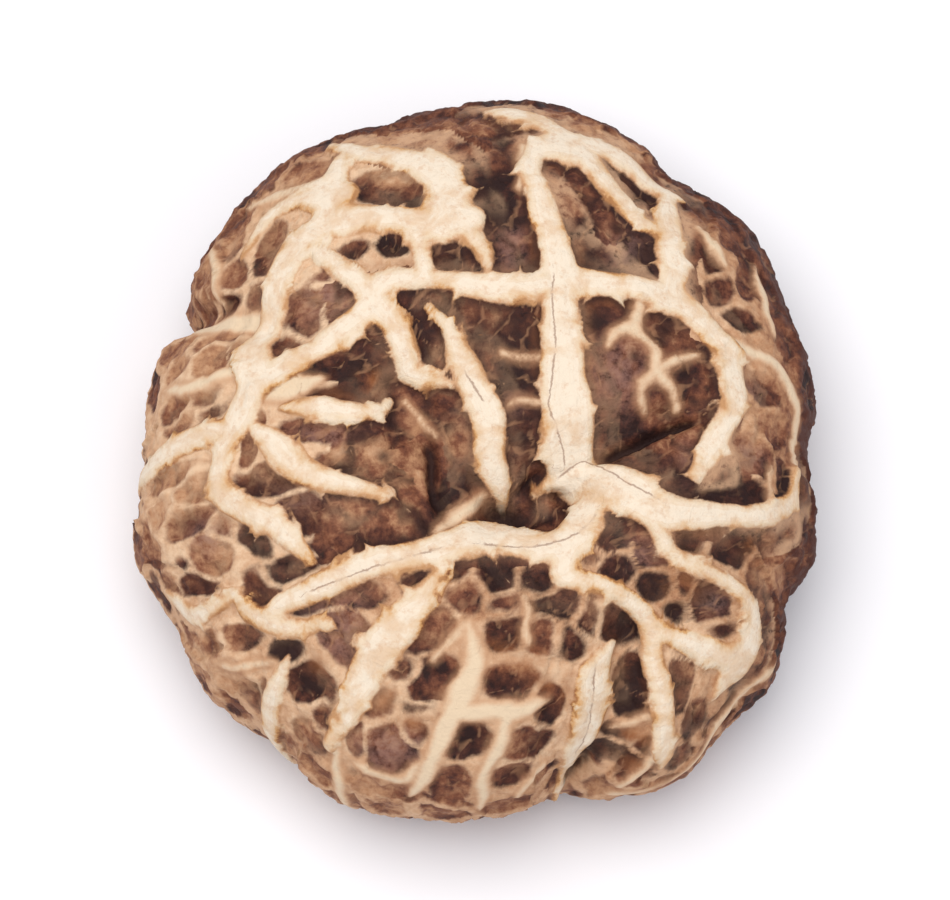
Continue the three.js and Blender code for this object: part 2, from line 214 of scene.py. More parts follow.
# Nearly black corners of the skin: (right, back, half length across, half length back).
DARK_SPOTS = (
    (2.9, 5.9, 1.4, 1.4), (3, 2.8, 1.3, 1.3), (3.6, -1.7, 1.5, 2), (9, 7.3, 0.9, 0.9),
    (14.7, 7.2, 0.9, 0.9), (11.7, 7.5, 0.5, 0.5), (12.3, 4.7, 0.4, 0.4), (16.6, 4, 0.5, 1.4),
    (16, 0.7, 0.9, 0.9), (-1.6, 11.9, 1.2, 1.2), (-6.2, 13, 0.8, 0.8), (-9.4, 13, 0.7, 0.7),
    (-4.8, 9.2, 1.3, 0.4), (-2.5, 7.5, 1, 1), (-4.1, 5.6, 0.9, 2.2), (0, 5.8, 0.9, 1.6),
    (1.2, 15.3, 1, 1), (0.8, 17.5, 0.7, 0.7), (3.8, 11, 0.5, 1.3), (3, 15, 0.5, 0.5),
    (8.2, 15, 0.8, 0.8), (8.7, 12.8, 1.1, 1.1), (10.9, 15.7, 0.7, 0.7), (12.7, 13.2, 1, 1.5),
    (1.8, 22.6, 0.5, 1.8), (-8.8, 18, 0.5, 1), (-6.3, 17.5, 1, 1), (-9, 4.7, 1.2, 1.2),
    (-12, 3.3, 1.2, 0.6), (-11.5, 1.8, 2.5, 0.5), (-7.2, 2.4, 0.5, 0.5), (-7, -0.3, 0.5, 1.4),
    (-4.4, 0.4, 0.5, 0.8), (-2.8, -1, 1, 0.7), (-9.3, -2, 1.3, 0.7), (-7.5, -3.7, 0.5, 0.5),
    (-11, -4.7, 1.3, 0.8), (-1, -4.8, 0.8, 0.8), (-2.7, -6.8, 0.7, 0.7), (-16.5, -5.6, 2.6, 1.2),
    (-13.7, -8.3, 1.5, 1.5), (-8.7, -10.1, 1, 0.5), (-6, -9.8, 1, 0.4), (-4, -8.8, 0.8, 0.8),
    (-18.4, -10.2, 1, 1.6), (-14.5, -11.7, 2, 0.6), (-17, -13.8, 0.9, 1.2),
    (-15.2, -18.4, 1.1, 1.1), (-13.2, -21.3, 1.1, 1.1), (-18.5, -22, 0.5, 1.2),
    (-23, -13, 1.2, 0.6), (-23.5, -7.8, 1.4, 0.8), (-22, 1.9, 1.1, 1.1), (-17.2, 14.8, 0.9, 0.9),
    (-17.6, 11.3, 0.6, 0.6), (-22, 11.6, 1.5, 0.4), (-1.7, -11.5, 0.8, 0.8),
    (-4.6, -12.7, 0.9, 0.7), (1.4, -12.6, 1.1, 1.1), (4.6, -13.2, 0.9, 0.9),
    (5.3, -14.9, 1.6, 0.9), (2.2, -16.5, 1, 1.3), (9.6, -15.6, 1, 1), (11.6, -17, 0.9, 0.9),
    (7.8, -17.5, 0.6, 0.9), (9.8, -9.3, 0.6, 0.6), (10.6, -11.8, 1, 1), (13.6, -12.5, 0.8, 0.8),
    (15, -15.1, 1, 1), (17.4, -13.4, 0.9, 0.9), (18.8, -16, 0.9, 0.3), (16.2, -9.8, 0.5, 0.5),
    (20.8, -10.2, 1.4, 0.8), (25.8, -8.4, 1.2, 1.2), (25.6, -4.7, 0.8, 0.8),
    (22.8, -5.4, 0.8, 0.8), (18.5, -6, 1.4, 0.8), (15.7, -4.7, 1, 1.2), (13.7, -2.8, 0.6, 0.6),
    (20.7, 9.8, 0.9, 0.6), (18.7, 13.7, 0.6, 0.9), (13.5, 20, 1.2, 1), (11, 21.4, 1.4, 0.7),
    (-3, -17.4, 1, 0.6), (-3.5, -21.4, 1.8, 0.5), (-0.6, -24.8, 1.8, 1.8), (2.5, -20.8, 1.7, 0.8),
    (4.6, -25.8, 1.2, 1.2), (5.2, -23.3, 0.8, 0.6), (-4, -24.3, 0.4, 1), (-6, -27, 0.6, 0.6),
    (4.2, -28.1, 0.8, 0.3), (3, -28.5, 1, 0.8), (12, -21.5, 1.3, 2.2), (15.4, -20.2, 0.8, 1.2),
    (17.3, -23.3, 0.9, 0.9), (11.6, -26.8, 1.4, 1), (15.3, -26.5, 0.8, 0.8),
    (9.6, -31.3, 1.3, 1.3), (23.4, -19, 0.9, 0.5), (24.3, -21.7, 1.6, 0.5),
)
# Larger dark brown areas, the same way.
DARK_AREAS = (
    (3, 3.5, 2, 6), (1.5, 17, 2.2, 5), (10.5, 15, 3.5, 3.5), (10, 7, 3, 2), (15.8, 4, 2.2, 3.5),
    (-5, 7, 1.8, 3), (-10.5, 2.8, 3.5, 2), (3, -14.5, 6.5, 2.2), (10.5, -10.5, 2.5, 2),
    (17, -14.5, 2.5, 3), (12, -21, 2, 5), (12.5, -27, 4, 2.5), (18, -6, 3, 1.5),
    (22.5, -4.5, 3, 2), (20, -10, 4, 1.5), (-16, -6, 3, 1.5), (-3, -19.5, 3, 1.8),
    (-0.6, -24.8, 1.8, 1.8), (-1.6, 12, 2, 1.4), (-7, 13, 4, 1), (-7.5, -0.8, 1.4, 1.6),
    (13, 20, 3, 1.5), (-1.5, -7, 2, 2), (-13.5, -20, 2, 3), (3.9, -5.2, 1.8, 0.8),
    (4.5, -7, 2.5, 1), (12, -1.2, 3, 1), (13, -3.3, 2.5, 0.8),
)
# Soft tan and pinkish areas of the skin, the same way.
PALE_AREAS = (
    (-8.4, -4.6, 2.2, 2.2), (-6.2, -8, 1.8, 1.4), (-9, -7.4, 1.6, 1), (-5, -3, 1.2, 2.4),
    (15.6, 5.6, 1.6, 1.2), (11.6, 5.4, 1.6, 1.6), (14.6, 0.8, 1.2, 1), (2.2, 13.4, 1.4, 0.8),
    (2, 24.4, 2.4, 0.9), (9.6, 14.4, 1.2, 1.2), (18.8, -4.4, 1.6, 1), (-11.2, 5.4, 1.2, 1),
    (-16, -3.5, 3, 2), (-21.5, -5, 2.5, 3), (-7, 19.5, 3, 2), (-25.5, 5.5, 4, 5),
    (-21.3, -12, 2.4, 2.6), (24.8, -13.2, 2.4, 2.8), (18.2, -20.8, 2, 2), (-2, -2.9, 1.6, 1.2),
    (2.8, -19.2, 2.4, 0.6), (-7.5, -21.5, 1.2, 1.6), (11.5, -24.5, 1, 0.6), (-24, 17, 4, 4),
    (0, -33, 14, 3), (-14, 25, 5, 3), (25, 2, 2.5, 4), (10, 26.5, 7, 2), (-27, -6, 3.5, 4.5),
    (-16, -29, 5, 4), (27, -12, 3, 5), (-22, -20, 4, 3),
)
# Brown scales left on the pale ground of the front and the left, as sunken patches:
# (right, back, half length, half width, tilt in degrees, tone from 0, nearly black, to 1, tan).
SCALES = (
    (-11, -14.3, 3.6, 1, 8, 0.28), (-10.2, -16.8, 2.5, 1.8, -35, 0.42),
    (-4.6, -12.8, 1.2, 0.8, 20, 0.2), (-1.9, -11.8, 1, 1, 0, 0.15), (-1, -13.9, 1.3, 1.2, 0, 0.5),
    (-3.6, -16.3, 2, 1.4, 20, 0.5), (-5.5, -19.1, 1, 1, 0, 0.4), (-2.9, -20.2, 2.1, 1.9, 0, 0.42),
    (-4, -21.8, 1.9, 0.5, 0, 0.05), (-7.6, -21.6, 1.4, 1, 30, 0.7), (-7, -25.4, 2, 1.9, 20, 0.5),
    (-5, -23.9, 1, 1, 0, 0.6), (-9.6, -24.6, 0.9, 1.6, 0, 0.45), (-1, -24.6, 1.8, 1.5, 0, 0.25),
    (-2.6, -28.6, 1.6, 1.8, 0, 0.5), (-6.4, -29.6, 2.2, 1.2, 0, 0.75),
    (-13.5, -20.8, 2.2, 1.5, -10, 0.2), (-15.2, -18.4, 1.3, 1.1, 0, 0.05),
    (-12.4, -23.3, 0.9, 1.1, 0, 0.35), (-14.2, -25.4, 1.7, 1.5, 0, 0.55),
    (-15.6, -28, 1.3, 1.6, 20, 0.5), (-9.6, -29, 1.6, 1.6, 0, 0.65),
    (1.2, -12.6, 1.3, 1.2, 0, 0.2), (4.4, -12.8, 1.3, 1.1, 0, 0.2), (1.8, -14.7, 1.3, 1, 0, 0.45),
    (5.6, -14.6, 2, 1.1, 0, 0.15), (2, -16.5, 1.5, 1.5, 0, 0.25), (4.7, -17.1, 1.4, 1.3, 0, 0.45),
    (6.8, -17.3, 1.3, 1.2, 0, 0.25), (8.3, -15.4, 1.1, 1.5, -20, 0.2),
    (10.4, -15.9, 2, 1.3, -35, 0.12), (2.4, -20.4, 2.1, 1.2, 0, 0.2),
    (5.3, -22.3, 1.2, 1.6, 0, 0.25), (3.9, -25.5, 1.8, 1.4, 0, 0.38),
    (2.6, -28.3, 1.5, 1.2, 20, 0.38), (5.9, -29.3, 1.1, 0.8, 0, 0.6),
    (12, -20.8, 1.4, 2.6, 5, 0.06), (11.8, -24.6, 1.5, 1, 10, 0.42), (13.4, -25.4, 1, 1.1, 0, 0.3),
    (11.4, -27.2, 2.2, 1.1, -5, 0.2), (9.9, -30.5, 1.6, 1.4, 0, 0.05),
    (13.6, -29.2, 2.6, 1.3, 20, 0.3), (15.6, -20.2, 1.1, 2, -10, 0.2),
    (17.6, -23.3, 1.3, 1.5, 0, 0.3), (15.9, -26.8, 1.5, 1, 20, 0.4), (17.8, -27, 1, 1.2, 0, 0.6),
    (17.8, -14.3, 1.8, 1.6, 0, 0.35), (-22.5, 1.4, 2, 1, 20, 0.3), (-25, 0.9, 2.2, 0.9, 15, 0.55),
    (-22.6, 8.2, 3.2, 1.1, 10, 0.5), (-25.5, -3.8, 3.2, 1.1, 5, 0.6),
    (-22.8, -4.8, 2, 1.4, 0, 0.75), (-24, -7.6, 2.8, 1.2, 10, 0.5),
    (-28.4, -9.4, 1.3, 2.2, 0, 0.7), (-24.7, -11, 0.7, 0.6, 0, 0.3), (-24, -13, 2.3, 0.9, 0, 0.45),
    (-18.3, -9.4, 2.2, 0.9, -42, 0.3), (-16.2, -5, 2.8, 1.3, 3, 0.32),
    (-14, -8, 1.8, 1.5, 0, 0.32), (-14.6, -12, 2.6, 0.9, 15, 0.3),
    (-17.2, -13.4, 1.7, 1.1, -30, 0.4), (-13.2, -1.4, 2.6, 1, -5, 0.4),
    (-18.2, -1.8, 0.7, 2.2, -10, 0.65), (-11, -4.2, 1.7, 1, 0, 0.3),
    (-19.3, -17, 1.9, 0.9, 5, 0.5), (-20.4, -21.4, 2.2, 1.6, -40, 0.6),
    (-17.8, -21.8, 0.6, 1.3, 0, 0.35), (-12.4, 3.6, 2.4, 1.3, 10, 0.25),
    (-9.4, 5.2, 1.6, 1.7, 0, 0.2), (-11, 1.7, 3, 0.8, 0, 0.3), (-9, -8.2, 2.4, 1.1, 5, 0.4),
    (-10.5, -10.2, 2.6, 0.9, 10, 0.3), (10, -9.6, 1.6, 1.4, 0, 0.3),
    (10.4, -11.9, 1.5, 1, 0, 0.12), (13.2, -10.6, 1.3, 1.6, 20, 0.42),
    (13.3, -13, 1.3, 1.2, 0, 0.12), (15.3, -15.1, 1.1, 0.8, 0, 0.1),
    (16.4, -9.8, 1.9, 0.8, 0, 0.25), (20.5, -10.4, 2.2, 1.2, -10, 0.22),
    (18.8, -16, 1.3, 0.7, 0, 0.3), (15.9, -13, 0.7, 1.2, 0, 0.5), (23.4, -12.4, 1.3, 1.8, 0, 0.42),
    (24.8, -16.6, 1.2, 1.8, 10, 0.38), (21.8, -20.6, 1.2, 1.4, 30, 0.4),
    (6.6, -11.2, 0.9, 0.8, 0, 0.5), (8.6, -11, 0.9, 0.8, 0, 0.35),
    (16.5, -17.9, 1.4, 0.7, 10, 0.45), (-7, 18.8, 2.6, 1.7, -10, 0.38),
    (-9.6, 13.2, 1.2, 0.8, 0, 0.3), (-6.3, 13.3, 1.3, 0.8, 0, 0.12),
    (-13.6, 8.8, 2.6, 1.8, 35, 0.34), (-15.5, 5.8, 1.2, 1.8, 0, 0.34),
    (-12.2, 11, 1.4, 0.8, 30, 0.5), (-11.4, 8.6, 1.2, 1.3, 0, 0.42),
    (-17, 14.7, 1.1, 2.3, -25, 0.42), (-18.4, 11.2, 1.4, 1.1, 0, 0.3),
    (-22.2, 11.6, 2.4, 0.8, 10, 0.2), (-20.6, 13.4, 1.2, 1.4, 0, 0.6),
    (-21.2, 17.2, 1.5, 1.7, -20, 0.65), (-24.6, 14.4, 1.6, 1.8, 0, 0.6),
    (-14, 22, 2.4, 1.2, 10, 0.6), (-17.6, 21.6, 1.3, 0.9, 0, 0.5),
    (-22.4, 6.2, 1.5, 2.2, -10, 0.6), (-22.6, 2.2, 1.7, 1, 10, 0.35),
    (-26.4, 7.4, 1.8, 1.8, 0, 0.6), (-26.2, 2.2, 1.6, 1.3, 0, 0.5), (-20.4, 6.6, 0.7, 1.6, 0, 0.7),
    (-26.4, -7, 1.4, 1.6, 0, 0.6), (-20.4, -8.4, 1.2, 1, 0, 0.6),
    (-21.8, -10.6, 1.7, 1.5, 0, 0.78), (-27.6, -13.2, 1.2, 1.6, 0, 0.65),
    (-22.4, -17.6, 1.5, 1, 0, 0.6), (18.4, 14.2, 0.9, 1.9, 25, 0.3),
    (19.3, 11.4, 1.2, 1.4, 0, 0.4), (21.4, 9.2, 1.7, 0.8, -10, 0.15),
    (20.6, 16.8, 1.4, 1.4, 0, 0.5), (21.9, 12.9, 0.9, 1.6, 0, 0.45), (18.2, 17.6, 1, 1.1, 0, 0.7),
    (23.6, 3.6, 2.4, 1.2, -20, 0.3), (25.6, 11, 1.1, 1.9, 0, 0.6), (25.6, 0.2, 1.5, 1.6, 0, 0.45),
    (22.6, -2.6, 1.9, 1.9, 0, 0.4), (26.4, -3.8, 1, 1.7, 0, 0.25), (27.4, 7.8, 1.5, 2, 0, 0.6),
    (23.6, 16.4, 1.5, 1.5, 0, 0.5), (24.6, 6.6, 1.3, 0.8, -20, 0.6), (21.6, 1.6, 0.5, 1.8, 0, 0.5),
    (24.4, -10.2, 0.9, 1, 0, 0.45), (27, -9.2, 1.4, 1.4, 0, 0.15), (25.8, -12.8, 0.9, 1.9, 0, 0.4),
    (22.4, -5.2, 1.4, 0.7, 0, 0.3),
)
SCALE_GROWTH = 1.18  # a scale grows to this many times its size, if no neighbour stops it
SCALE_GAP = 0.18  # pale ground left on each side of the border between two scales
SCALE_SLOPE = 0.55  # about half the way from one scale's middle to the next, for that measure
# Painted light and shade on each scale: its front edge is darker, as if in shadow, and its back edge
# lighter, as if lit.
SCALE_SHADING = 0.16  # a scale's back edge is lighter than its middle by this, its front edge darker
# Rust-brown areas.
RUST_AREAS = (
    (7.6, 11.9, 0.5, 1.4), (4.4, 6.2, 0.5, 3), (8, 4, 0.5, 3), (4.2, 15.6, 0.5, 3),
    (12, 9.1, 3, 0.4), (0.6, -4.4, 0.8, 1.4), (-0.4, -3.6, 0.5, 1.6), (-12, 1.6, 2, 0.5),
    (1.6, -17.6, 2.4, 0.7), (6.8, -21, 0.7, 1.6), (-4.8, -23, 2.2, 0.6), (17, -9, 3, 0.5),
    (-6, 11.6, 3, 0.5), (2.5, -19, 2.6, 0.7), (10.4, -18.6, 1, 1.2), (12.5, -24.6, 2, 0.8),
    (14, -27.6, 2.2, 1), (-12.6, -19.2, 1, 1), (4.9, -20.9, 1, 1), (16, -12.4, 1.6, 1.4),
    (14.2, -13.3, 1, 0.8), (9.4, -3.6, 1, 0.6), (13.6, -22.6, 0.7, 2.4), (-7.4, -21.4, 1, 1),
    (23, -9.8, 1, 1.6), (10, -21, 0.6, 3), (-8.5, 3, 1, 1), (4.6, 12, 0.6, 5), (8.2, 5, 0.6, 5),
)
# Patches with a greyish purple bloom.
BLOOM_AREAS = (
    (11.2, 3.3, 2, 2.7), (-10.7, -16.6, 3, 2.6), (-7, -25.2, 3, 2.4), (2.4, 12.8, 1, 2),
    (-12.4, -1.8, 2.5, 1), (-12, 9.5, 2.2, 2), (11.5, 13.5, 1.6, 2), (18.2, -14.2, 1.2, 1),
    (17, -3.5, 1, 1.6), (-14.5, -6.8, 2, 1), (22.5, 1.8, 1.2, 2.4), (12.5, -10.8, 1.4, 1.2),
    (2.8, 0.9, 0.9, 0.9), (-22, -9, 1.6, 1.4), (22.5, -2.5, 1.4, 1.2),
)

# ---- Mesh steps ---------------------------------------------------------------------------------
DOME_RINGS = 106
ROLL_RINGS = 18
REST_RINGS = 2
LIP_RINGS = 6
GILL_RINGS = 18
STEM_RINGS = 14
CUT_RINGS = 8
GILL_GAIN = 1.1875  # the heights of the gills' edges and gaps are times this
LIP_SKIN = 5.4  # length given to the lip's own skin
FAR, OUTSIDE = 99.0, -5.0  # distances that stand for nowhere near


def bell(distance, spread):
    return np.exp(-((distance / spread) ** 2))


def smoothstep(value, low, high):
    t = np.clip((value - low) / (high - low), 0, 1)
    return t * t * (3 - 2 * t)


def bumps_at(bumps, angle):
    total = np.zeros_like(angle)
    for middle, height, spread in bumps:
        apart = (np.degrees(angle) - middle + 180) % 360 - 180
        total = total + height * bell(apart, spread)
    return total


def oval_radius(angle):
    return 1 / np.hypot(np.cos(angle) / (CAP_WIDTH / 2), np.sin(angle) / (CAP_LENGTH / 2))


def inside_line(place, a, b):
    """How far each place lies inside a straight band from a to b; negative outside it."""
    a, b = np.array(a, float), np.array(b, float)
    way = b[:2] - a[:2]
    t = np.clip((place - a[:2]) @ way / (way @ way), 0, 1)
    return (a[2] + (b[2] - a[2]) * t) / 2 - np.hypot(*(place - a[:2] - t[:, None] * way).T)


def joined(end, route):
    """Whether a route's end lies inside another crack."""
    others = [other for other in CREAM_BANDS + TAN_RIDGES if other is not route]
    return any(inside_line(end[None, :2], a, b)[0] > 0
               for other in others for a, b in zip(other[:-1], other[1:]))


def with_tips(route):
    """The route with a short pointed tip added at each wide end that lies in the skin."""
    p = np.array(route, float)
    tips = []
    for end, before in ((p[0], p[1]), (p[-1], p[-2])):
        way = (end[:2] - before[:2]) / np.hypot(*(end[:2] - before[:2]))
        free = end[2] > WIDE_END and not joined(end, route)
        tips.append([(*(end[:2] + (0.5 + 0.8 * end[2]) * way), TIP_WIDTH)] if free else [])
    return [*tips[0], *route, *tips[1]]


def smooth_route(route, steps=4):
    """A curve through the route's points, as a list of closer points."""
    p = np.array(route, float)
    p = np.vstack([2 * p[0] - p[1], p, 2 * p[-1] - p[-2]])
    curve = []
    for a, b, c, d in zip(p, p[1:], p[2:], p[3:]):
        for t in np.arange(steps) / steps:
            bend = 2 * a - 5 * b + 4 * c - d + t * (3 * (b - c) + d - a)
            curve.append(b + 0.5 * t * (c - a + t * bend))
    return np.array([*curve, p[-2]])


def inside_route(place, route):
    """How far each place lies inside the edge of a band along the route; negative outside it."""
    points = smooth_route(with_tips(route))
    best = np.full(len(place), OUTSIDE)
    for a, b in zip(points[:-1], points[1:]):
        reach = 6 + np.hypot(*(b[:2] - a[:2]))
        near = np.hypot(*(place - (a[:2] + b[:2]) / 2).T) < reach
        best[near] = np.maximum(best[near], inside_line(place[near], a, b))
    return best


def inside_any(place, routes, blend):
    """The same for several routes, which run into each other with a fillet."""
    total = np.full(len(place), OUTSIDE)
    for route in routes:
        one = inside_route(place, route)
        h = np.clip(0.5 + (one - total) / (2 * blend), 0, 1)
        total = total + (one - total) * h + blend * h * (1 - h)
    return total


def gap_to(place, points):
    """Distance to the line through the points."""
    thin = [(*p, 0) for p in points]
    return -np.max([inside_line(place, a, b) for a, b in zip(thin[:-1], thin[1:])], axis=0)


def side_of(place, route):
    """Distance to a route, negative on its right side, and 1 beside it but 0 past its ends."""
    points = smooth_route(route, 3)
    best, beside = np.full(len(place), FAR), np.zeros(len(place))
    for a, b in zip(points[:-1], points[1:]):
        way, from_a = b - a, place - a
        t = (from_a @ way) / (way @ way)
        gap = np.hypot(*(from_a - np.clip(t, 0, 1)[:, None] * way).T)
        closer = gap < np.abs(best)
        side = np.sign(way[0] * from_a[:, 1] - way[1] * from_a[:, 0])
        best = np.where(closer, gap * side, best)
        within = np.hypot(*(place - points[0]).T) > 0.3
        within &= np.hypot(*(place - points[-1]).T) > 0.3
        beside = np.where(closer, ((t > -0.4) & (t < 1.4) & within).astype(float), beside)
    return best, beside


def spots_at(place, spots, grow=1.0):
    """1 in the middle of each oval spot, fading to 0 outside it."""
    total = np.zeros(len(place))
    for u, v, across, back in spots:
        d = np.hypot((place[:, 0] - u) / (across * grow), (place[:, 1] - v) / (back * grow))
        total = np.maximum(total, np.exp(-(d**2)))
    return total


def inside_scales(place):
    """How far each place lies inside the nearest scale, and that scale's tone. Scales grow until
    they meet, so their borders are straight there and round where they stand alone."""
    first, second = np.full((2, len(place)), FAR)
    tone, span = np.full(len(place), 0.5), np.full(len(place), 1.0)
    for u, v, long, wide, tilt, shade in SCALES:
        du, dv = place[:, 0] - u, place[:, 1] - v
        c, s = cos(radians(tilt)), sin(radians(tilt))
        reach = np.hypot((du * c + dv * s) / long, (dv * c - du * s) / wide)
        closer = reach < first
        second = np.where(closer, first, np.minimum(second, reach))
        # Painted shade: the tone darkens towards the scale's front edge and lightens towards its
        # back edge.
        shaded = shade + SCALE_SHADING * np.clip(dv / wide, -1.3, 1.3)
        tone, span = np.where(closer, shaded, tone), np.where(closer, 0.6 * wide + 0.2 * long, span)
        first = np.where(closer, reach, first)
    between = (second - first) * SCALE_SLOPE * span - SCALE_GAP
    return np.minimum(between, (SCALE_GROWTH - first) * span), tone


def sink_at(place):
    """How deep the bowl round the navel and the creases lie below the dome."""
    deepest = np.max([d * bell(gap_to(place, r), w) for r, d, w in CREASES], axis=0)
    bowl = BOWL_DEPTH * bell(np.hypot(*(place - BOWL_CENTRE).T), BOWL_WIDTH)
    return bowl + deepest


# ---- Profile ------------------------------------------------------------------------------------
def dome_profile():
    """(radius, height) of close points down the dome, as flattened as DOME_FLATNESS says."""
    a = np.linspace(0, pi / 2, 4001)
    share = np.sin(a) ** (2 / DOME_FLATNESS)
    rise = np.sqrt(np.clip(1 - share**DOME_FLATNESS, 0, 1))
    return MEAN_RADIUS * share, GIRTH_HEIGHT + (CROWN_HEIGHT - GIRTH_HEIGHT) * rise


def lengths_along(r, z):
    return np.concatenate([[0], np.cumsum(np.hypot(np.diff(r), np.diff(z)))])


dome_r, dome_z = dome_profile()
dome_s = lengths_along(dome_r, dome_z)
turn = np.linspace(0, pi / 2, 801)
roll_r = REST_OUTER + RIM_TUCK * np.cos(turn)
roll_z = GIRTH_HEIGHT * (1 - np.sin(turn))
roll_s = dome_s[-1] + lengths_along(roll_r, roll_z)
SKIN_TO_GIRTH, SKIN_TO_REST = dome_s[-1], roll_s[-1]
MOUTH_ROW = DOME_RINGS + ROLL_RINGS + REST_RINGS + LIP_RINGS


def profile_rows():
    """(radius, height, skin length, stretch) for each ring, from the crown to the gill mouth."""
    rows = []
    for k in range(DOME_RINGS + 1):
        s = SKIN_TO_GIRTH * k / DOME_RINGS
        rows.append((np.interp(s, dome_s, dome_r), np.interp(s, dome_s, dome_z), s, "dome"))
    for k in range(1, ROLL_RINGS + 1):
        s = SKIN_TO_GIRTH + (SKIN_TO_REST - SKIN_TO_GIRTH) * k / ROLL_RINGS
        rows.append((np.interp(s, roll_s, roll_r), np.interp(s, roll_s, roll_z), s, "roll"))
    for k in range(1, REST_RINGS + 1):
        gone = REST_WIDTH * k / REST_RINGS
        rows.append((REST_OUTER - gone, 0.0, SKIN_TO_REST + gone, "rest"))
    for k in range(1, LIP_RINGS + 1):
        t = pi / 2 * k / LIP_RINGS
        length = SKIN_TO_REST + REST_WIDTH + LIP_SKIN * k / LIP_RINGS
        radius = REST_INNER - LIP_TUCK * sin(t)
        rows.append((radius, MOUTH_HEIGHT * (1 - cos(t)), length, "lip"))
    return rows


row_r, row_z, row_s, row_kind = (np.array(column) for column in zip(*profile_rows()))

# A square grid, bent so that each square ring becomes a round ring of the cap.
SIDE = 2 * MOUTH_ROW + 1
gx, gy = np.meshgrid(np.arange(SIDE) - MOUTH_ROW, np.arange(SIDE) - MOUTH_ROW)
gx, gy = gx.ravel().astype(float), gy.ravel().astype(float)
ring = np.maximum(np.abs(gx), np.abs(gy)).astype(int)
wide = np.abs(gx) > np.abs(gy)
with np.errstate(divide="ignore", invalid="ignore"):
    angle = np.where(
        wide,
        pi / 4 * gy / gx + np.where(gx < 0, pi, 0),
        pi / 2 - pi / 4 * gx / gy + np.where(gy < 0, pi, 0),
    )
angle[ring == 0] = 0.0
radius, height, skin, kind = row_r[ring], row_z[ring], row_s[ring], row_kind[ring]
place = np.stack([skin * np.cos(angle), skin * np.sin(angle)], 1)

# The same places a little up and down the profile give the lathe's own normal.
steep_r = np.gradient(row_r, row_s)
steep_z = np.gradient(row_z, row_s)
normal_r, normal_z = -steep_z, steep_r
size = np.hypot(normal_r, normal_z)
normal_r, normal_z = (normal_r / size)[ring], (normal_z / size)[ring]
normal_r = np.where(ring == 0, 0, normal_r)
normal_z = np.where(ring == 0, 1, normal_z)

oval = oval_radius(angle) - MEAN_RADIUS
lobes = bumps_at(RIM_LOBES, angle)
share = radius / MEAN_RADIUS
on_dome = kind == "dome"
on_skin = on_dome | (kind == "roll")
under_out = oval * smoothstep(radius, STEM_ROOT_RADIUS + STEM_CLEARANCE, MOUTH_RADIUS)
under_out = under_out + lobes * smoothstep(radius, MOUTH_RADIUS - LOBE_FADE, REST_OUTER)
outward = np.where(on_dome, oval * share + lobes * share**3, under_out)
arch = np.maximum(0, bumps_at(RIM_ARCHES, angle) - ARCH_CUTOFF)
limit = np.where(kind == "lip", MOUTH_HEIGHT, GIRTH_HEIGHT)
upward = np.where(on_dome, 0, arch * (1 - smoothstep(height / limit, 0, 1)))
fade = np.where(on_dome, 1, smoothstep(height, 0, GIRTH_HEIGHT)) * on_skin
sink = fade * sink_at(place)
base_r = radius + outward - sink * normal_r
base_z = height + upward - sink * normal_z
base = np.stack([base_r * np.cos(angle), base_r * np.sin(angle), base_z], 1)

grid = np.arange(SIDE * SIDE).reshape(SIDE, SIDE)
quads = np.stack([grid[:-1, :-1], grid[:-1, 1:], grid[1:, 1:], grid[1:, :-1]], -1).reshape(-1, 4)


def vertex_normals(points, faces):
    a, b, c, d = (points[faces[:, i]] for i in range(4))
    n = np.cross(c - a, d - b)
    total = np.zeros_like(points)
    for i in range(4):
        np.add.at(total, faces[:, i], n)
    return total / np.maximum(np.linalg.norm(total, axis=1, keepdims=True), 1e-9)


base_normal = vertex_normals(base, quads)

# ---- Relief and pattern -------------------------------------------------------------------------
rng = np.random.default_rng(7)
SEED_TRIES, CHUNK = 9000, 8000
SEEDS_APART, FINE_SEEDS_APART = 3.1, 1.55


def scattered(points, apart, allowed):
    """Allowed points, taken in random order, at least this far apart."""
    chosen = []
    taken = np.zeros((0, 3))
    for i in rng.permutation(np.flatnonzero(allowed))[:SEED_TRIES]:
        if len(taken) == 0 or np.min(np.sum((taken - points[i]) ** 2, 1)) > apart**2:
            chosen.append(i)
            taken = points[chosen]
    return taken


def scale_borders(points, seeds):
    """Distance to the border between the two nearest seeds, and a number for the nearest one."""
    border = np.zeros(len(points))
    which = np.zeros(len(points), int)
    for start in range(0, len(points), CHUNK):
        q = points[start:start + CHUNK]
        d = np.sqrt(((q[:, None, :] - seeds[None]) ** 2).sum(2))
        nearest = np.argsort(d, axis=1)[:, :2]
        first, second = np.take_along_axis(d, nearest, 1).T
        span = np.linalg.norm(seeds[nearest[:, 0]] - seeds[nearest[:, 1]], axis=1)
        border[start:start + CHUNK] = (second**2 - first**2) / (2 * span)
        which[start:start + CHUNK] = nearest[:, 0]
    return border, which


def wobble(points, scale, amount, seed):
    """A smooth made-up shift of each point, so that straight borders wander."""
    r = np.random.default_rng(seed)
    shifts = np.zeros_like(points)
    for _ in range(10):
        wave = r.normal(size=3) / scale
        shifts += np.sin(points @ wave + r.uniform(0, 6.28))[:, None] * r.normal(size=3)
    return amount * shifts / 3


wander = wobble(base, 2.2, 0.17, 3)[:, :2] + wobble(base, 0.8, 0.07, 9)[:, :2]
cream_in = inside_any(place + wander, CREAM_BANDS, BAND_FILLET) + BAND_GAIN
tan_place = place + wobble(base, 0.8, 0.14, 4)[:, :2]
tan_in = inside_any(tan_place, TAN_RIDGES, RIDGE_FILLET) + RIDGE_GAIN
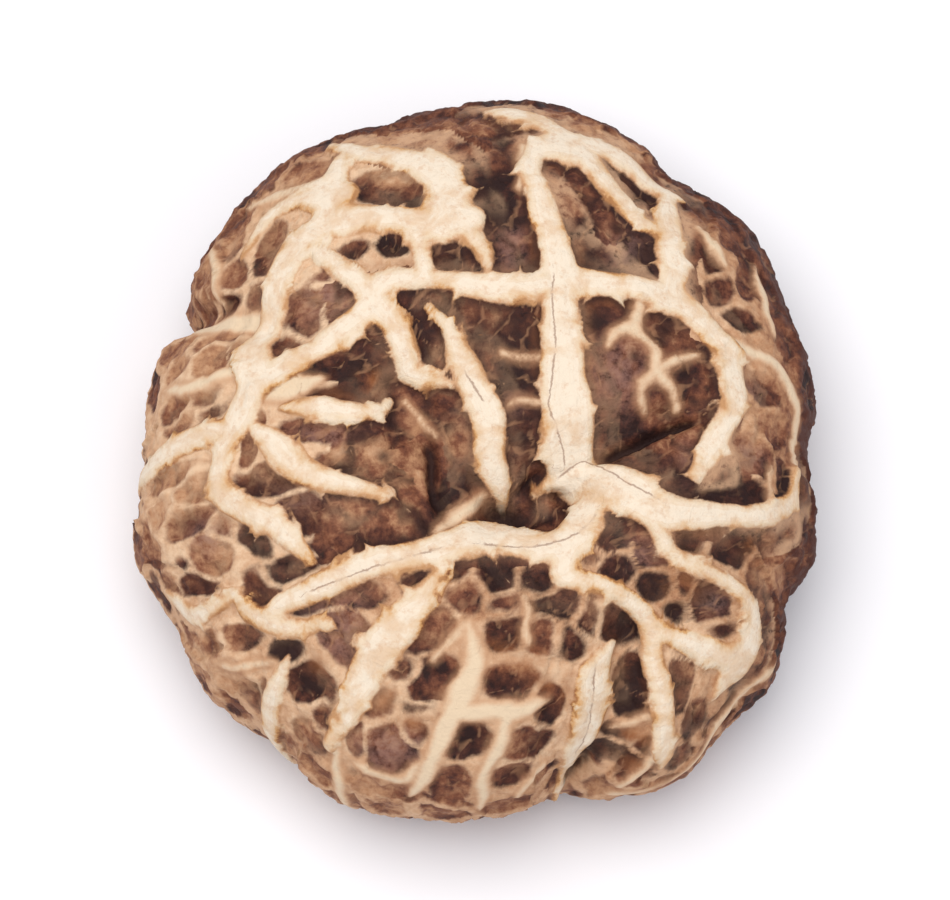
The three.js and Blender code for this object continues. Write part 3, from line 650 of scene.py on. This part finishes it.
# Past a crack, seen from the middle of the cap, the flesh fades softly into the skin.
toward = (np.array([2.0, -5.0]) - place) * 0.02
cream_nearer = inside_any(place + wander + toward, CREAM_BANDS, BAND_FILLET) + BAND_GAIN
soft = smoothstep((cream_nearer - cream_in) / np.maximum(np.hypot(*toward.T), 0.02), -0.1, 0.7)
soft = soft * (0.25 + 0.75 * smoothstep(skin, 14, 19))
hair_gap, hair_on = np.full(len(place), FAR), np.zeros(len(place))
for route in HAIRLINES:
    side_gap, beside = side_of(place, route)
    nearer = np.abs(side_gap) < np.abs(hair_gap)
    hair_gap, hair_on = np.where(nearer, side_gap, hair_gap), np.where(nearer, beside, hair_on)
slit = np.zeros(len(place))
for route, deep, width in SLITS:
    ends = [np.hypot(*(place - np.array(end)).T) for end in (route[0], route[-1])]
    taper = smoothstep(ends[0], -0.5, 1.6) * smoothstep(ends[1], -0.5, 1.6)
    gap = gap_to(place + 0.6 * wander, smooth_route(route, 3))
    slit = np.maximum(slit, deep * taper * bell(gap, width))
pit = spots_at(place + 0.5 * wander, NAVEL_HOLES)
dark = spots_at(place, DARK_SPOTS, 1.15)
pale = spots_at(place, PALE_AREAS)
dusky = spots_at(place, DARK_AREAS, 1.1)
bloom = spots_at(place, BLOOM_AREAS)
rust = spots_at(place, RUST_AREAS, 1.1)

side_in = smoothstep(skin, 25, 33)
seeds = scattered(base, SEEDS_APART, on_skin)
border, cell = scale_borders(base + wobble(base, 0.6, 0.35, 5), seeds)
fine_seeds = scattered(base, FINE_SEEDS_APART, on_skin & (skin < 40))
fine_border, fine_cell = scale_borders(base + wobble(base, 0.4, 0.25, 6), fine_seeds)
cell_tone = np.random.default_rng(11).uniform(-1, 1, len(seeds))[cell]
fine_tone = np.random.default_rng(12).uniform(-1, 1, len(fine_seeds))[fine_cell]

# The scales part most in the lower half and along the rim.
scaly = np.clip(0.25 + 0.75 * smoothstep(-place[:, 1], 9, 16) + 0.6 * side_in, 0, 1)
# Short pointed splits run from the bands into the borders between scales.
off_band = np.maximum(-cream_in, 0)
spur_width = SPUR_WIDTH + SPUR_CHANGE * np.clip(wobble(base, 1.6, 1.0, 33)[:, 1], -1, 1)
spur_in = spur_width * np.exp(-off_band / SPUR_FADE) - 0.06 - border
spur_in = np.where(off_band < SPUR_REACH, spur_in, OUTSIDE)
share = np.clip(0.5 + (spur_in - cream_in) / SPUR_BLEND, 0, 1)
cream_in = cream_in + (spur_in - cream_in) * share + 0.5 * SPUR_BLEND * share * (1 - share)

# Brown scales lie on pale ground in four zones: the front, both sides and beside the left notch.
# Elsewhere near the rim the borders are those between the scattered seeds.
scale_in, scale_tone = inside_scales(place + wobble(base, 0.9, 0.16, 15)[:, :2])
right, depth = place[:, 0], -place[:, 1]
front_start = 10.2 - 1.8 * smoothstep(right, 7, 9)
front_zone = smoothstep(depth - front_start, 0, 1.6) * (1 - smoothstep(right, 24, 26))
stray = wobble(base, 1.3, 0.7, 31)[:, 0]
left_start = 10.5 + stray - 7 * smoothstep(-depth, 10.4, 11.6) + 7 * smoothstep(-depth, 19.5, 23)
left_zone = smoothstep(-right - left_start, 0, 1.5) * smoothstep(-depth, -19, -17)
right_start = 16.6 + stray + 4.6 * smoothstep(depth, -7, -5)
right_zone = smoothstep(right - right_start, 0, 1.2) * smoothstep(-depth, -7, -5)
notch_zone = smoothstep(-right, 19.5, 21) * smoothstep(depth, -10, -8)
inner = 1 - smoothstep(skin + 3.5 * smoothstep(-depth, 0, 8), 29, 32)
placed = np.max([front_zone, left_zone, right_zone, notch_zone], axis=0) * inner
soft = soft * (1 - 0.8 * placed)
ground = np.maximum(np.maximum(placed, smoothstep(skin, 23, 29)), left_zone)
grown_in = border - 0.45 + 0.25 * cell_tone
scale_in = placed * scale_in + (1 - placed) * grown_in + (1 - ground) * 6
scale_tone = placed * scale_tone + (1 - placed) * (0.5 + 0.15 * cell_tone)
net_in = -scale_in

# Heights above the dome, in mm: the bands stand up beside a narrow groove, and so on.
off_flesh = -cream_in
lumps = wobble(base, 1.5, 1.0, 21)[:, 0]
relief = 0.26 * smoothstep(cream_in, -0.2, 0.3) + 0.05 * np.clip(cream_in, 0, 1.6)
relief *= 1 + 0.25 * wobble(base, 1.6, 1.0, 22)[:, 0]
relief -= 0.20 * bell(off_flesh - 0.35, 0.3) * (1 - 0.7 * soft)
relief += 0.18 * smoothstep(off_flesh, 0.7, 2.2)
relief += 0.22 * smoothstep(tan_in, -0.3, 0.35)
relief += 0.09 * lumps * smoothstep(off_flesh, 0.1, 1.0)
skin_part = smoothstep(off_flesh, 0.1, 0.7) * (1 - smoothstep(tan_in, -0.4, 0.1))
relief += skin_part * ground * (0.34 * smoothstep(net_in, -0.6, 0.2) - 0.16)
relief -= skin_part * 0.10 * bell(fine_border, 0.16)
relief += skin_part * 0.06 * fine_tone + skin_part * scaly * 0.08 * cell_tone
relief -= skin_part * 0.22 * dark
relief -= 0.10 * bell(hair_gap, 0.25) * hair_on
relief -= slit * (1 - 0.75 * smoothstep(cream_in, 0, 0.4)) + 0.9 * pit
relief += 0.05 * wobble(base, 0.35, 1.0, 8)[:, 2] * skin_part
relief = relief * np.where(on_dome, 1, smoothstep(height, 0.3, 5.0)) * on_skin
cap = base + relief[:, None] * base_normal
cap[:, 2] = np.maximum(cap[:, 2], 0)

# ---- Gills and stem, ring by ring ---------------------------------------------------------------
rim_ids = np.flatnonzero(ring == MOUTH_ROW)
rim_ids = rim_ids[np.argsort(np.mod(angle[rim_ids] + 1e-9, 2 * pi))]
vertices = [cap]
faces = [tuple(q) for q in quads]
attributes = {
    "cream": [cream_in], "ridge": [tan_in], "net": [net_in], "fine": [fine_border],
    "fine_tone": [fine_tone], "hair": [hair_gap], "hair_on": [hair_on],
    "dark": [dark], "pale": [pale], "dusky": [dusky], "soft": [soft], "bloom": [bloom],
    "front": [np.maximum(smoothstep(depth, 13, 20), 1.3 * left_zone)], "scale_tone": [scale_tone],
    # shade: how strongly the rim gets painted shade, more at the back and on the right, as on steep
    # sides that face away from the light
    "shade": [0.35 + 0.85 * smoothstep(0.6 * right - 0.8 * depth, -18, 8)],
    # slit: where painted shade goes into the slits and the navel's pits
    "ground": [ground], "rust": [rust], "slit": [np.maximum(slit, 0.55 * pit)],
    "rim": [skin], "part": [np.where(on_skin, 0.0, np.where(kind == "rest", 0.3, 0.5))],
    "edge": [np.zeros(len(cap))],
}
# Rings added below take these values, or 0, where nothing else is given.
PLAIN = {"cream": OUTSIDE, "ridge": OUTSIDE, "net": OUTSIDE, "fine": 5.0, "hair": FAR,
         "rim": 50.0, "shade": 1.0, "scale_tone": 0.5}
total = len(cap)
# Two discs of the texture: the cap's outside, and a smaller one for the gills and the stem.
UV_CAP, UV_CAP_RADIUS = (0.425, 0.425), 0.42
UV_GILL, UV_GILL_RADIUS = (0.835, 0.835), 0.155
UV_STEM_RADIUS, UV_CUT_RADIUS = 0.055, 0.033
UV_DOME_SHARE = 0.86
cap_share = np.interp(row_s, [0, SKIN_TO_GIRTH, row_s[-1]], [0, UV_DOME_SHARE, 1])
uv_rho = UV_CAP_RADIUS * cap_share[ring]
uvs = [np.stack([UV_CAP[0] + uv_rho * np.cos(angle), UV_CAP[1] + uv_rho * np.sin(angle)], 1)]


def add_ring(points, uv_radius, **values):
    """Adds a ring of points; returns their numbers. Attributes not given take a plain value."""
    global total
    count = len(points)
    for name, lists in attributes.items():
        value = values.get(name, PLAIN.get(name, 0.0))
        lists.append(np.broadcast_to(np.asarray(value, float), count).copy())
    t = np.arctan2(points[:, 1], points[:, 0])
    uvs.append(np.stack([UV_GILL[0] + uv_radius * np.cos(t), UV_GILL[1] - uv_radius * np.sin(t)], 1))
    vertices.append(points)
    ids = np.arange(total, total + count)
    total += count
    return ids


def stitch(outer, inner):
    """Faces between two rings, where the inner one has as many points or half as many."""
    next_inner = np.roll(inner, -1)
    if len(inner) == len(outer):
        faces.extend(zip(outer, inner, next_inner, np.roll(outer, -1)))
        return
    for a, b, c, p, q in zip(outer[::2], outer[1::2], np.roll(outer, -2)[::2], inner, next_inner):
        faces.extend([(a, p, b), (b, p, q), (b, q, c)])


# Four points make one gill: two on its edge and two in the gap beside it.
gill_points = len(rim_ids) // 2
gill_angles = np.arange(gill_points) * 2 * pi / gill_points
gill_number = np.arange(gill_points) // 4
in_gill = np.arange(gill_points) % 4
on_edge = in_gill < 2
lean = np.array([0.30, 0.05, -0.30, -0.05])[in_gill] * (2 * pi / (gill_points // 4)) * 0.55
reach = np.where(gill_number % 4 == 0, 1.0, np.where(gill_number % 4 == 2, 0.72, 0.42))
reach = reach + 0.08 * np.sin(gill_number * 2.4)
previous = rim_ids
for k in range(1, GILL_RINGS + 1):
    t = k / GILL_RINGS
    r = MOUTH_RADIUS + (STEM_ROOT_RADIUS - MOUTH_RADIUS) * t
    z = MOUTH_HEIGHT + (GILL_ROOT_HEIGHT - MOUTH_HEIGHT) * t - GILL_SAG * sin(pi * t)
    alive = smoothstep(reach - t, -0.02, 0.10) * smoothstep(t, 0, 0.12)
    at = gill_angles + lean * alive * smoothstep(t, 0, 0.1)
    at = at + 0.010 * np.sin(9 * t + gill_number * 0.7) * sin(pi * t)
    o = oval_radius(at) - MEAN_RADIUS
    flat_r = r + o * smoothstep(np.array(r), STEM_ROOT_RADIUS + STEM_CLEARANCE, MOUTH_RADIUS)
    flat_r = flat_r + bumps_at(RIM_LOBES, at) * smoothstep(
        np.array(r), MOUTH_RADIUS - LOBE_FADE, REST_OUTER)
    drop = np.where(on_edge, -0.75 * alive, 0.45 + 0.65 * alive) * smoothstep(t, 0.0, 0.15)
    drop = drop * GILL_GAIN * (1 - 0.35 * t)
    points = np.stack([flat_r * np.cos(at), flat_r * np.sin(at), z + drop], 1)
    rho = UV_STEM_RADIUS + (UV_GILL_RADIUS - UV_STEM_RADIUS) * (1 - t)
    ids = add_ring(points, rho, part=1.0, edge=np.where(on_edge, alive, 0.0))
    stitch(previous, ids)
    previous = ids

stem_wave = np.random.default_rng(17)
stem_phase, stem_size = stem_wave.uniform(0, 6.28, 14), stem_wave.uniform(0.3, 1.0, 14)
stem_turns = np.array([3, 5, 7, 9, 11, 14, 17, 21, 26, 31, 37, 43, 52, 61])


def stem_bumps(a, z):
    """How far the stem's side stands out, in mm, as fibres that lean a little."""
    waves = [s * np.sin(n * a + p + 0.15 * z) / n**0.55
             for n, p, s in zip(stem_turns, stem_phase, stem_size)]
    return 0.22 * np.sum(waves, axis=0)


count = len(previous)
for k in range(1, STEM_RINGS + CUT_RINGS + 1):
    if k in (2, STEM_RINGS + 2, STEM_RINGS + 4, STEM_RINGS + 5):
        count //= 2
    a = np.arange(count) * 2 * pi / count
    if k <= STEM_RINGS:
        t = k / STEM_RINGS
        r = STEM_ROOT_RADIUS + (STEM_CUT_RADIUS - STEM_ROOT_RADIUS) * t
        top = GILL_ROOT_HEIGHT - 0.2
        z = top + (STEM_CUT_HEIGHT + STEM_EDGE - top) * t
        swell = stem_bumps(a, z) * smoothstep(np.array(t), 0, 0.2)
        points = np.stack([(r + swell) * np.cos(a), (r + swell) * np.sin(a),
                           np.full(count, z)], 1)
        rho = UV_STEM_RADIUS + (UV_CUT_RADIUS - UV_STEM_RADIUS) * t
        ids = add_ring(points, rho, part=2.0)
    else:
        t = (k - STEM_RINGS) / CUT_RINGS
        gone = 1 - t * 0.96
        r = (STEM_CUT_RADIUS - STEM_EDGE * min(1, t * 3) * 0.6) * gone
        rough = stem_bumps(a, STEM_CUT_HEIGHT) * gone
        lift = STEM_EDGE * (1 - min(1, t * 2.5)) + 0.10 * np.sin(3 * a + 6 * t) * gone
        points = np.stack([(r + rough) * np.cos(a), (r + rough) * np.sin(a),
                           STEM_CUT_HEIGHT + lift], 1)
        ids = add_ring(points, UV_CUT_RADIUS * gone, part=3.0)
    stitch(previous, ids)
    previous = ids
tip = add_ring(np.array([[0.001, 0.0, STEM_CUT_HEIGHT]]), 0.0, part=3.0)
faces.extend((a, tip[0], b) for a, b in zip(previous, np.roll(previous, -1)))

# ---- Object -------------------------------------------------------------------------------------
points = np.vstack(vertices)
low, high = base.min(0), base.max(0)
cad_low, cad_high = (np.array(corner) * 1000 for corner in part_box("mushroom"))
shift = (cad_low + cad_high) / 2 - (low + high) / 2
shift[2] = -points[:, 2].min()
points = (points + shift) / 1000

mesh = bpy.data.meshes.new("mushroom_skin")
mesh.from_pydata(points.tolist(), [], [tuple(int(i) for i in f) for f in faces])
mesh.update()
for name, lists in attributes.items():
    layer = mesh.attributes.new(name, "FLOAT", "POINT")
    layer.data.foreach_set("value", np.concatenate(lists).astype(np.float32))
uv_map = mesh.uv_layers.new(name="OFBake")
loop_vertex = np.zeros(len(mesh.loops), int)
mesh.loops.foreach_get("vertex_index", loop_vertex)
uv_map.data.foreach_set("uv", np.vstack(uvs)[loop_vertex].astype(np.float32).ravel())
mesh.polygons.foreach_set("use_smooth", np.ones(len(mesh.polygons), bool))
mesh.update()
mushroom = bpy.data.objects.new("mushroom_skin", mesh)
bpy.context.scene.collection.objects.link(mushroom)


# ---- Materials ----------------------------------------------------------------------------------
def linear(r, g, b):
    return tuple(c / 12.92 if c <= 0.04045 else ((c + 0.055) / 1.055) ** 2.4
                 for c in (r / 255, g / 255, b / 255)) + (1.0,)


class Nodes:
    """Short ways to build and join shader nodes."""

    def __init__(self, material):
        material.use_nodes = True
        self.tree = material.node_tree
        self.tree.nodes.clear()

    def put(self, socket, value):
        if isinstance(value, bpy.types.NodeSocket):
            self.tree.links.new(value, socket)
        else:
            socket.default_value = value

    def attribute(self, name):
        node = self.tree.nodes.new("ShaderNodeAttribute")
        node.attribute_name = name
        return node.outputs["Fac"]

    def position(self):
        return self.tree.nodes.new("ShaderNodeTexCoord").outputs["Object"]

    def stretched(self, vector, *scale):
        node = self.tree.nodes.new("ShaderNodeMapping")
        self.put(node.inputs["Vector"], vector)
        node.inputs["Scale"].default_value = scale
        return node.outputs["Vector"]

    def noise(self, vector, size_mm, detail=4.0, rough=0.6, warp=0.0):
        node = self.tree.nodes.new("ShaderNodeTexNoise")
        self.put(node.inputs["Vector"], vector)
        node.inputs["Scale"].default_value = 1000.0 / size_mm
        node.inputs["Detail"].default_value = detail
        node.inputs["Roughness"].default_value = rough
        node.inputs["Distortion"].default_value = warp
        return node.outputs["Fac"]

    def math(self, operation, a, b=0.0, c=0.0):
        node = self.tree.nodes.new("ShaderNodeMath")
        node.operation = operation
        for socket, value in zip(node.inputs, (a, b, c)):
            self.put(socket, value)
        return node.outputs[0]

    def times(self, a, b):
        return self.math("MULTIPLY", a, b)

    def plus(self, base, value, gain):
        """base + gain * value."""
        return self.math("MULTIPLY_ADD", value, gain, base)

    def varied(self, base, noise, gain):
        """The base moved up and down by a noise that is 0.5 on average."""
        return self.plus(base, self.math("SUBTRACT", noise, 0.5), gain)

    def step(self, value, low, high, smooth=True):
        """0 at low and 1 at high."""
        node = self.tree.nodes.new("ShaderNodeMapRange")
        node.interpolation_type = "SMOOTHSTEP" if smooth else "LINEAR"
        self.put(node.inputs["Value"], value)
        node.inputs["From Min"].default_value = min(low, high)
        node.inputs["From Max"].default_value = max(low, high)
        node.inputs["To Min"].default_value = float(low > high)
        node.inputs["To Max"].default_value = float(low < high)
        return node.outputs["Result"]

    def mix(self, share, a, b):
        node = self.tree.nodes.new("ShaderNodeMix")
        node.data_type = "RGBA"
        self.put(node.inputs["Factor"], share)
        self.put(node.inputs[6], a)
        self.put(node.inputs[7], b)
        return node.outputs[2]

    def tint(self, under, over, share, gain):
        """The colour over laid on the colour under, by share * gain."""
        return self.mix(self.times(share, gain), under, over)

    def ramp(self, value, stops):
        node = self.tree.nodes.new("ShaderNodeValToRGB")
        self.put(node.inputs["Fac"], value)
        band = node.color_ramp
        while len(band.elements) < len(stops):
            band.elements.new(0.5)
        for element, (where, colour) in zip(band.elements, stops):
            element.position = where
            element.color = colour
        return node.outputs["Color"]

    def bump(self, height, strength, distance_mm, normal=None):
        node = self.tree.nodes.new("ShaderNodeBump")
        node.inputs["Strength"].default_value = strength
        node.inputs["Distance"].default_value = distance_mm / 1000
        self.put(node.inputs["Height"], height)
        if normal is not None:
            self.put(node.inputs["Normal"], normal)
        return node.outputs["Normal"]


SKIN_BLACK = linear(44, 26, 24)
SKIN_DARK = linear(82, 46, 36)
SKIN_BROWN = linear(126, 78, 56)
SKIN_BLOOM = linear(142, 108, 98)
SKIN_TAN = linear(180, 133, 98)
SKIN_RIM = linear(206, 165, 130)
GROUND_PALE = linear(224, 190, 156)
SPLIT_EDGE = linear(126, 68, 34)
RUST = linear(150, 92, 52)
GOLD = linear(204, 154, 100)
CREAM = linear(223, 199, 168)
IVORY = linear(232, 216, 194)
GILL_FACE = linear(214, 182, 130)
GILL_EDGE = linear(176, 134, 84)
STEM_SIDE = linear(196, 160, 112)
STEM_CUT = linear(222, 192, 146)

dried = bpy.data.materials.new("dried_mushroom")
n = Nodes(dried)
where = n.position()
mottle = n.noise(where, 2.6, 5, 0.62, 0.4)
speckle = n.noise(where, 0.7, 4, 0.65)
coarse = n.noise(where, 7.0, 3, 0.55)
patchy = n.noise(where, 4.5, 2, 0.5)
grain = n.noise(where, 0.22, 3, 0.6)
ragged = n.math("SUBTRACT", n.noise(where, 1.3, 4, 0.6), 0.5)
cream_at = n.plus(n.attribute("cream"), ragged, 0.55)
ridge_at = n.plus(n.attribute("ridge"), ragged, 0.7)
net_at = n.plus(n.attribute("net"), ragged, 0.6)
# Painted shade: the rim's steep sides darken towards the silhouette, more at the back and on the
# right.
rim_painted_shade = n.step(n.varied(n.attribute("rim"), mottle, 9.0), 23, 33)
rim_painted_shade = n.times(rim_painted_shade, n.attribute("shade"))
soft_at = n.times(n.attribute("soft"), n.step(coarse, 0.25, 0.5))
on_ground = n.attribute("ground")
off_ground = n.math("SUBTRACT", 1.0, on_ground)

# Skin: brown, darker in its corners and against the flesh (partly a burnt torn edge, partly painted
# shade at the foot of the raised bands), with tan and a purple bloom.
from_scale = n.times(n.math("SUBTRACT", n.attribute("scale_tone"), 0.45), on_ground)
skin_tone = n.math("MULTIPLY_ADD", from_scale, 0.56, 0.53)
for noise, gain in ((mottle, 1.0), (speckle, 0.60), (coarse, 0.55)):
    skin_tone = n.varied(skin_tone, noise, gain)
dusky_share = n.times(n.attribute("dusky"), n.math("MULTIPLY_ADD", off_ground, 0.7, 0.3))
for share, gain in (
    (n.attribute("fine_tone"), 0.09), (n.attribute("pale"), 0.18), (dusky_share, -0.24),
    (rim_painted_shade, -0.20),
):
    skin_tone = n.plus(skin_tone, share, gain)
colour = n.ramp(skin_tone, [(0.22, SKIN_BLACK), (0.38, SKIN_DARK), (0.55, SKIN_BROWN),
                            (0.76, SKIN_TAN), (0.98, SKIN_RIM)])
bloom_share = n.times(n.attribute("bloom"), n.step(speckle, 0.3, 0.6))
colour = n.tint(colour, SKIN_BLOOM, bloom_share, 0.6)
rust_share = n.times(n.attribute("rust"), n.step(mottle, 0.3, 0.6))
colour = n.tint(colour, RUST, rust_share, 0.7)
# Burnt edge and painted shade: the skin turns nearly black where it meets the raised flesh.
burnt_edge_and_painted_shade = n.step(n.varied(cream_at, mottle, 1.6), -0.8, 0.0)
burnt_edge_and_painted_shade = n.times(burnt_edge_and_painted_shade, n.math("SUBTRACT", 1.0, soft_at))
burnt_edge_and_painted_shade = n.times(burnt_edge_and_painted_shade, n.math("MULTIPLY_ADD", off_ground, 0.5, 0.4))
colour = n.tint(colour, SKIN_BLACK, burnt_edge_and_painted_shade, 0.85)
dark_share = n.times(n.attribute("dark"), n.math("MULTIPLY_ADD", off_ground, 0.35, 0.65))
dark_share = n.times(dark_share, n.step(mottle, 0.28, 0.52))
colour = n.tint(colour, SKIN_BLACK, dark_share, 0.85)
fine_line = n.times(n.step(n.attribute("fine"), 0.20, 0.02), n.step(coarse, 0.4, 0.55))
colour = n.tint(colour, SKIN_TAN, fine_line, 0.40)

# The pale ground between scales, and the tan ridges.
pale_tone = n.varied(n.varied(0.54, mottle, 1.0), speckle, 0.8)
pale_tone = n.plus(pale_tone, n.attribute("front"), 0.22)
# The same painted shade on the rim darkens the pale ground there.
pale_tone = n.plus(pale_tone, rim_painted_shade, -0.62)
pale_ground = n.ramp(pale_tone, [(0.0, SKIN_DARK), (0.20, SKIN_BROWN), (0.42, SKIN_TAN),
                                 (0.66, SKIN_RIM), (0.90, GROUND_PALE)])
pale_ground = n.tint(pale_ground, RUST, rust_share, 0.7)
colour = n.mix(n.step(net_at, -0.20, 0.20), colour, pale_ground)
fading = n.times(soft_at, n.step(n.plus(cream_at, mottle, 0.9), -0.9, 0.4))
fading = n.times(fading, n.step(speckle, 0.2, 0.5))
colour = n.tint(colour, SKIN_RIM, fading, 0.8)
colour = n.tint(colour, SKIN_TAN, n.step(ridge_at, -0.6, 0.05), 0.5)
ridge_colour = n.ramp(n.step(ridge_at, 0.0, 0.6), [(0.0, SKIN_RIM), (1.0, CREAM)])
colour = n.mix(n.step(ridge_at, -0.15, 0.25), colour, ridge_colour)

# Flesh: burnt at the torn edge, gold, then cream and ivory along the crest.
depth_in = n.varied(n.varied(cream_at, mottle, 1.5), speckle, 0.6)
across = n.step(depth_in, 0.0, 1.4, False)
plain, burnt = (
    n.ramp(across, [(0.0, edge), (0.09, beside), (0.24, CREAM), (0.55, IVORY)])
    for edge, beside in ((SKIN_TAN, SKIN_RIM), (SPLIT_EDGE, GOLD))
)
flesh = n.mix(n.step(patchy, 0.47, 0.64), plain, burnt)
along = n.tree.nodes.new("ShaderNodeCombineXYZ")
n.put(along.inputs["X"], n.times(cream_at, 0.006))
n.put(along.inputs["Y"], n.times(mottle, 0.004))
streaks = n.noise(along.outputs[0], 1.6, 3, 0.6)
flesh = n.tint(flesh, GOLD, n.step(streaks, 0.52, 0.70), 0.16)
flesh = n.mix(n.times(soft_at, n.step(cream_at, 0.45, 0.0)), flesh, SKIN_RIM)
flesh = n.tint(flesh, GOLD, n.step(mottle, 0.58, 0.36), 0.42)
flesh = n.tint(flesh, SKIN_RIM, n.step(speckle, 0.52, 0.70), 0.45)
colour = n.mix(n.step(n.plus(cream_at, soft_at, -0.15), -0.10, 0.10), colour, flesh)
hair = n.math("ABSOLUTE", n.varied(n.attribute("hair"), speckle, 0.5))
hair_share = n.times(n.step(hair, 0.12, 0.02), n.attribute("hair_on"))
hair_share = n.times(hair_share, n.step(mottle, 0.38, 0.55))
colour = n.tint(colour, SKIN_BROWN, hair_share, 0.6)
# Painted shade: the slits and the navel's pits are tinted nearly black inside.
slit_painted_shade = n.step(n.plus(n.attribute("slit"), ragged, 0.5), 0.35, 1.05)
colour = n.tint(colour, SKIN_BLACK, slit_painted_shade, 0.92)

# Underside: the lip, the gills, the stem and its cut end.
gills = n.mix(n.attribute("edge"), GILL_FACE, GILL_EDGE)
fibres = n.noise(n.stretched(where, 1.0, 1.0, 0.12), 0.5, 5, 0.6)
part = n.attribute("part")
for first, full, finish in (
    (0.02, 0.4, n.mix(n.step(speckle, 0.3, 0.7), SKIN_TAN, GILL_FACE)),
    (0.6, 0.95, n.tint(gills, SKIN_BROWN, n.step(mottle, 0.5, 0.75), 0.35)),
    (1.2, 1.8, n.mix(n.step(fibres, 0.35, 0.65), SKIN_BROWN, STEM_SIDE)),
    (2.3, 2.8, n.mix(n.step(speckle, 0.35, 0.65), STEM_SIDE, STEM_CUT)),
):
    colour = n.mix(n.step(part, first, full), colour, finish)

shader = n.tree.nodes.new("ShaderNodeBsdfPrincipled")
output = n.tree.nodes.new("ShaderNodeOutputMaterial")
n.tree.links.new(shader.outputs[0], output.inputs[0])
n.put(shader.inputs["Base Color"], colour)
n.put(shader.inputs["Roughness"], n.math("MULTIPLY_ADD", speckle, 0.30, 0.52))
shader.inputs["Specular IOR Level"].default_value = 0.15
wrinkles = n.noise(where, 0.8, 5, 0.6, 0.6)
normal = n.bump(wrinkles, 0.55, 0.35)
normal = n.bump(grain, 0.35, 0.08, normal)
n.put(shader.inputs["Normal"], normal)
mesh.materials.append(dried)

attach(mushroom, "root")
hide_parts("mushroom")

# ---- Floor --------------------------------------------------------------------------------------
FLOOR_HALF = 1.5
FLOOR_COLOUR = (0.90, 0.89, 0.91, 1)
floor_mesh = bpy.data.meshes.new("floor")
h = FLOOR_HALF
floor_mesh.from_pydata([(-h, -h, 0), (h, -h, 0), (h, h, 0), (-h, h, 0)], [], [(0, 1, 2, 3)])
floor = bpy.data.objects.new("floor", floor_mesh)
bpy.context.scene.collection.objects.link(floor)
floor_paint = bpy.data.materials.new("floor_paint")
floor_paint.use_nodes = True
floor_shader = floor_paint.node_tree.nodes["Principled BSDF"]
floor_shader.inputs["Base Color"].default_value = FLOOR_COLOUR
floor_shader.inputs["Roughness"].default_value = 0.7
floor_mesh.materials.append(floor_paint)

# ---- Light --------------------------------------------------------------------------------------
# Lights: (name, place, size, watts, colour).
LIGHTS = (
    ("key", (-0.14, 0.06, 0.95), 0.90, 7.0, (1.0, 0.98, 0.95)),
    ("fill", (0.40, -0.35, 0.60), 0.60, 0.6, (0.96, 0.97, 1.0)),
)
LIT_POINT = Vector((0, 0, 0.01))
SKY_COLOUR, SKY_STRENGTH = (0.93, 0.94, 1.0, 1), 0.62
world = bpy.data.worlds.new("studio")
bpy.context.scene.world = world
world.use_nodes = True
sky = world.node_tree.nodes["Background"]
sky.inputs["Color"].default_value = SKY_COLOUR
sky.inputs["Strength"].default_value = SKY_STRENGTH
for name, stand, disk, watts, light_colour in LIGHTS:
    data = bpy.data.lights.new(name, "AREA")
    data.shape = "DISK"
    data.size = disk
    data.energy = watts
    data.color = light_colour
    light = bpy.data.objects.new(name, data)
    bpy.context.scene.collection.objects.link(light)
    light.location = stand
    light.rotation_euler = (LIT_POINT - Vector(stand)).to_track_quat("-Z", "Y").to_euler()

# ---- Camera -------------------------------------------------------------------------------------
ELEVATION = radians(74)
DISTANCE = 0.55
LOOK_AT = Vector((0, 0, 0.011))
LENS, SENSOR = 270, 36
camera_data = bpy.data.cameras.new("camera")
camera_data.sensor_width = SENSOR
camera_data.lens = LENS
camera_data.clip_start = 0.01
camera_data.clip_end = 10
camera = bpy.data.objects.new("camera", camera_data)
bpy.context.scene.collection.objects.link(camera)
back = Vector((0, -cos(ELEVATION), sin(ELEVATION)))
camera.location = LOOK_AT + back * DISTANCE
camera.rotation_euler = (-back).to_track_quat("-Z", "Y").to_euler()
bpy.context.scene.camera = camera
bpy.context.scene.view_settings.view_transform = "Standard"
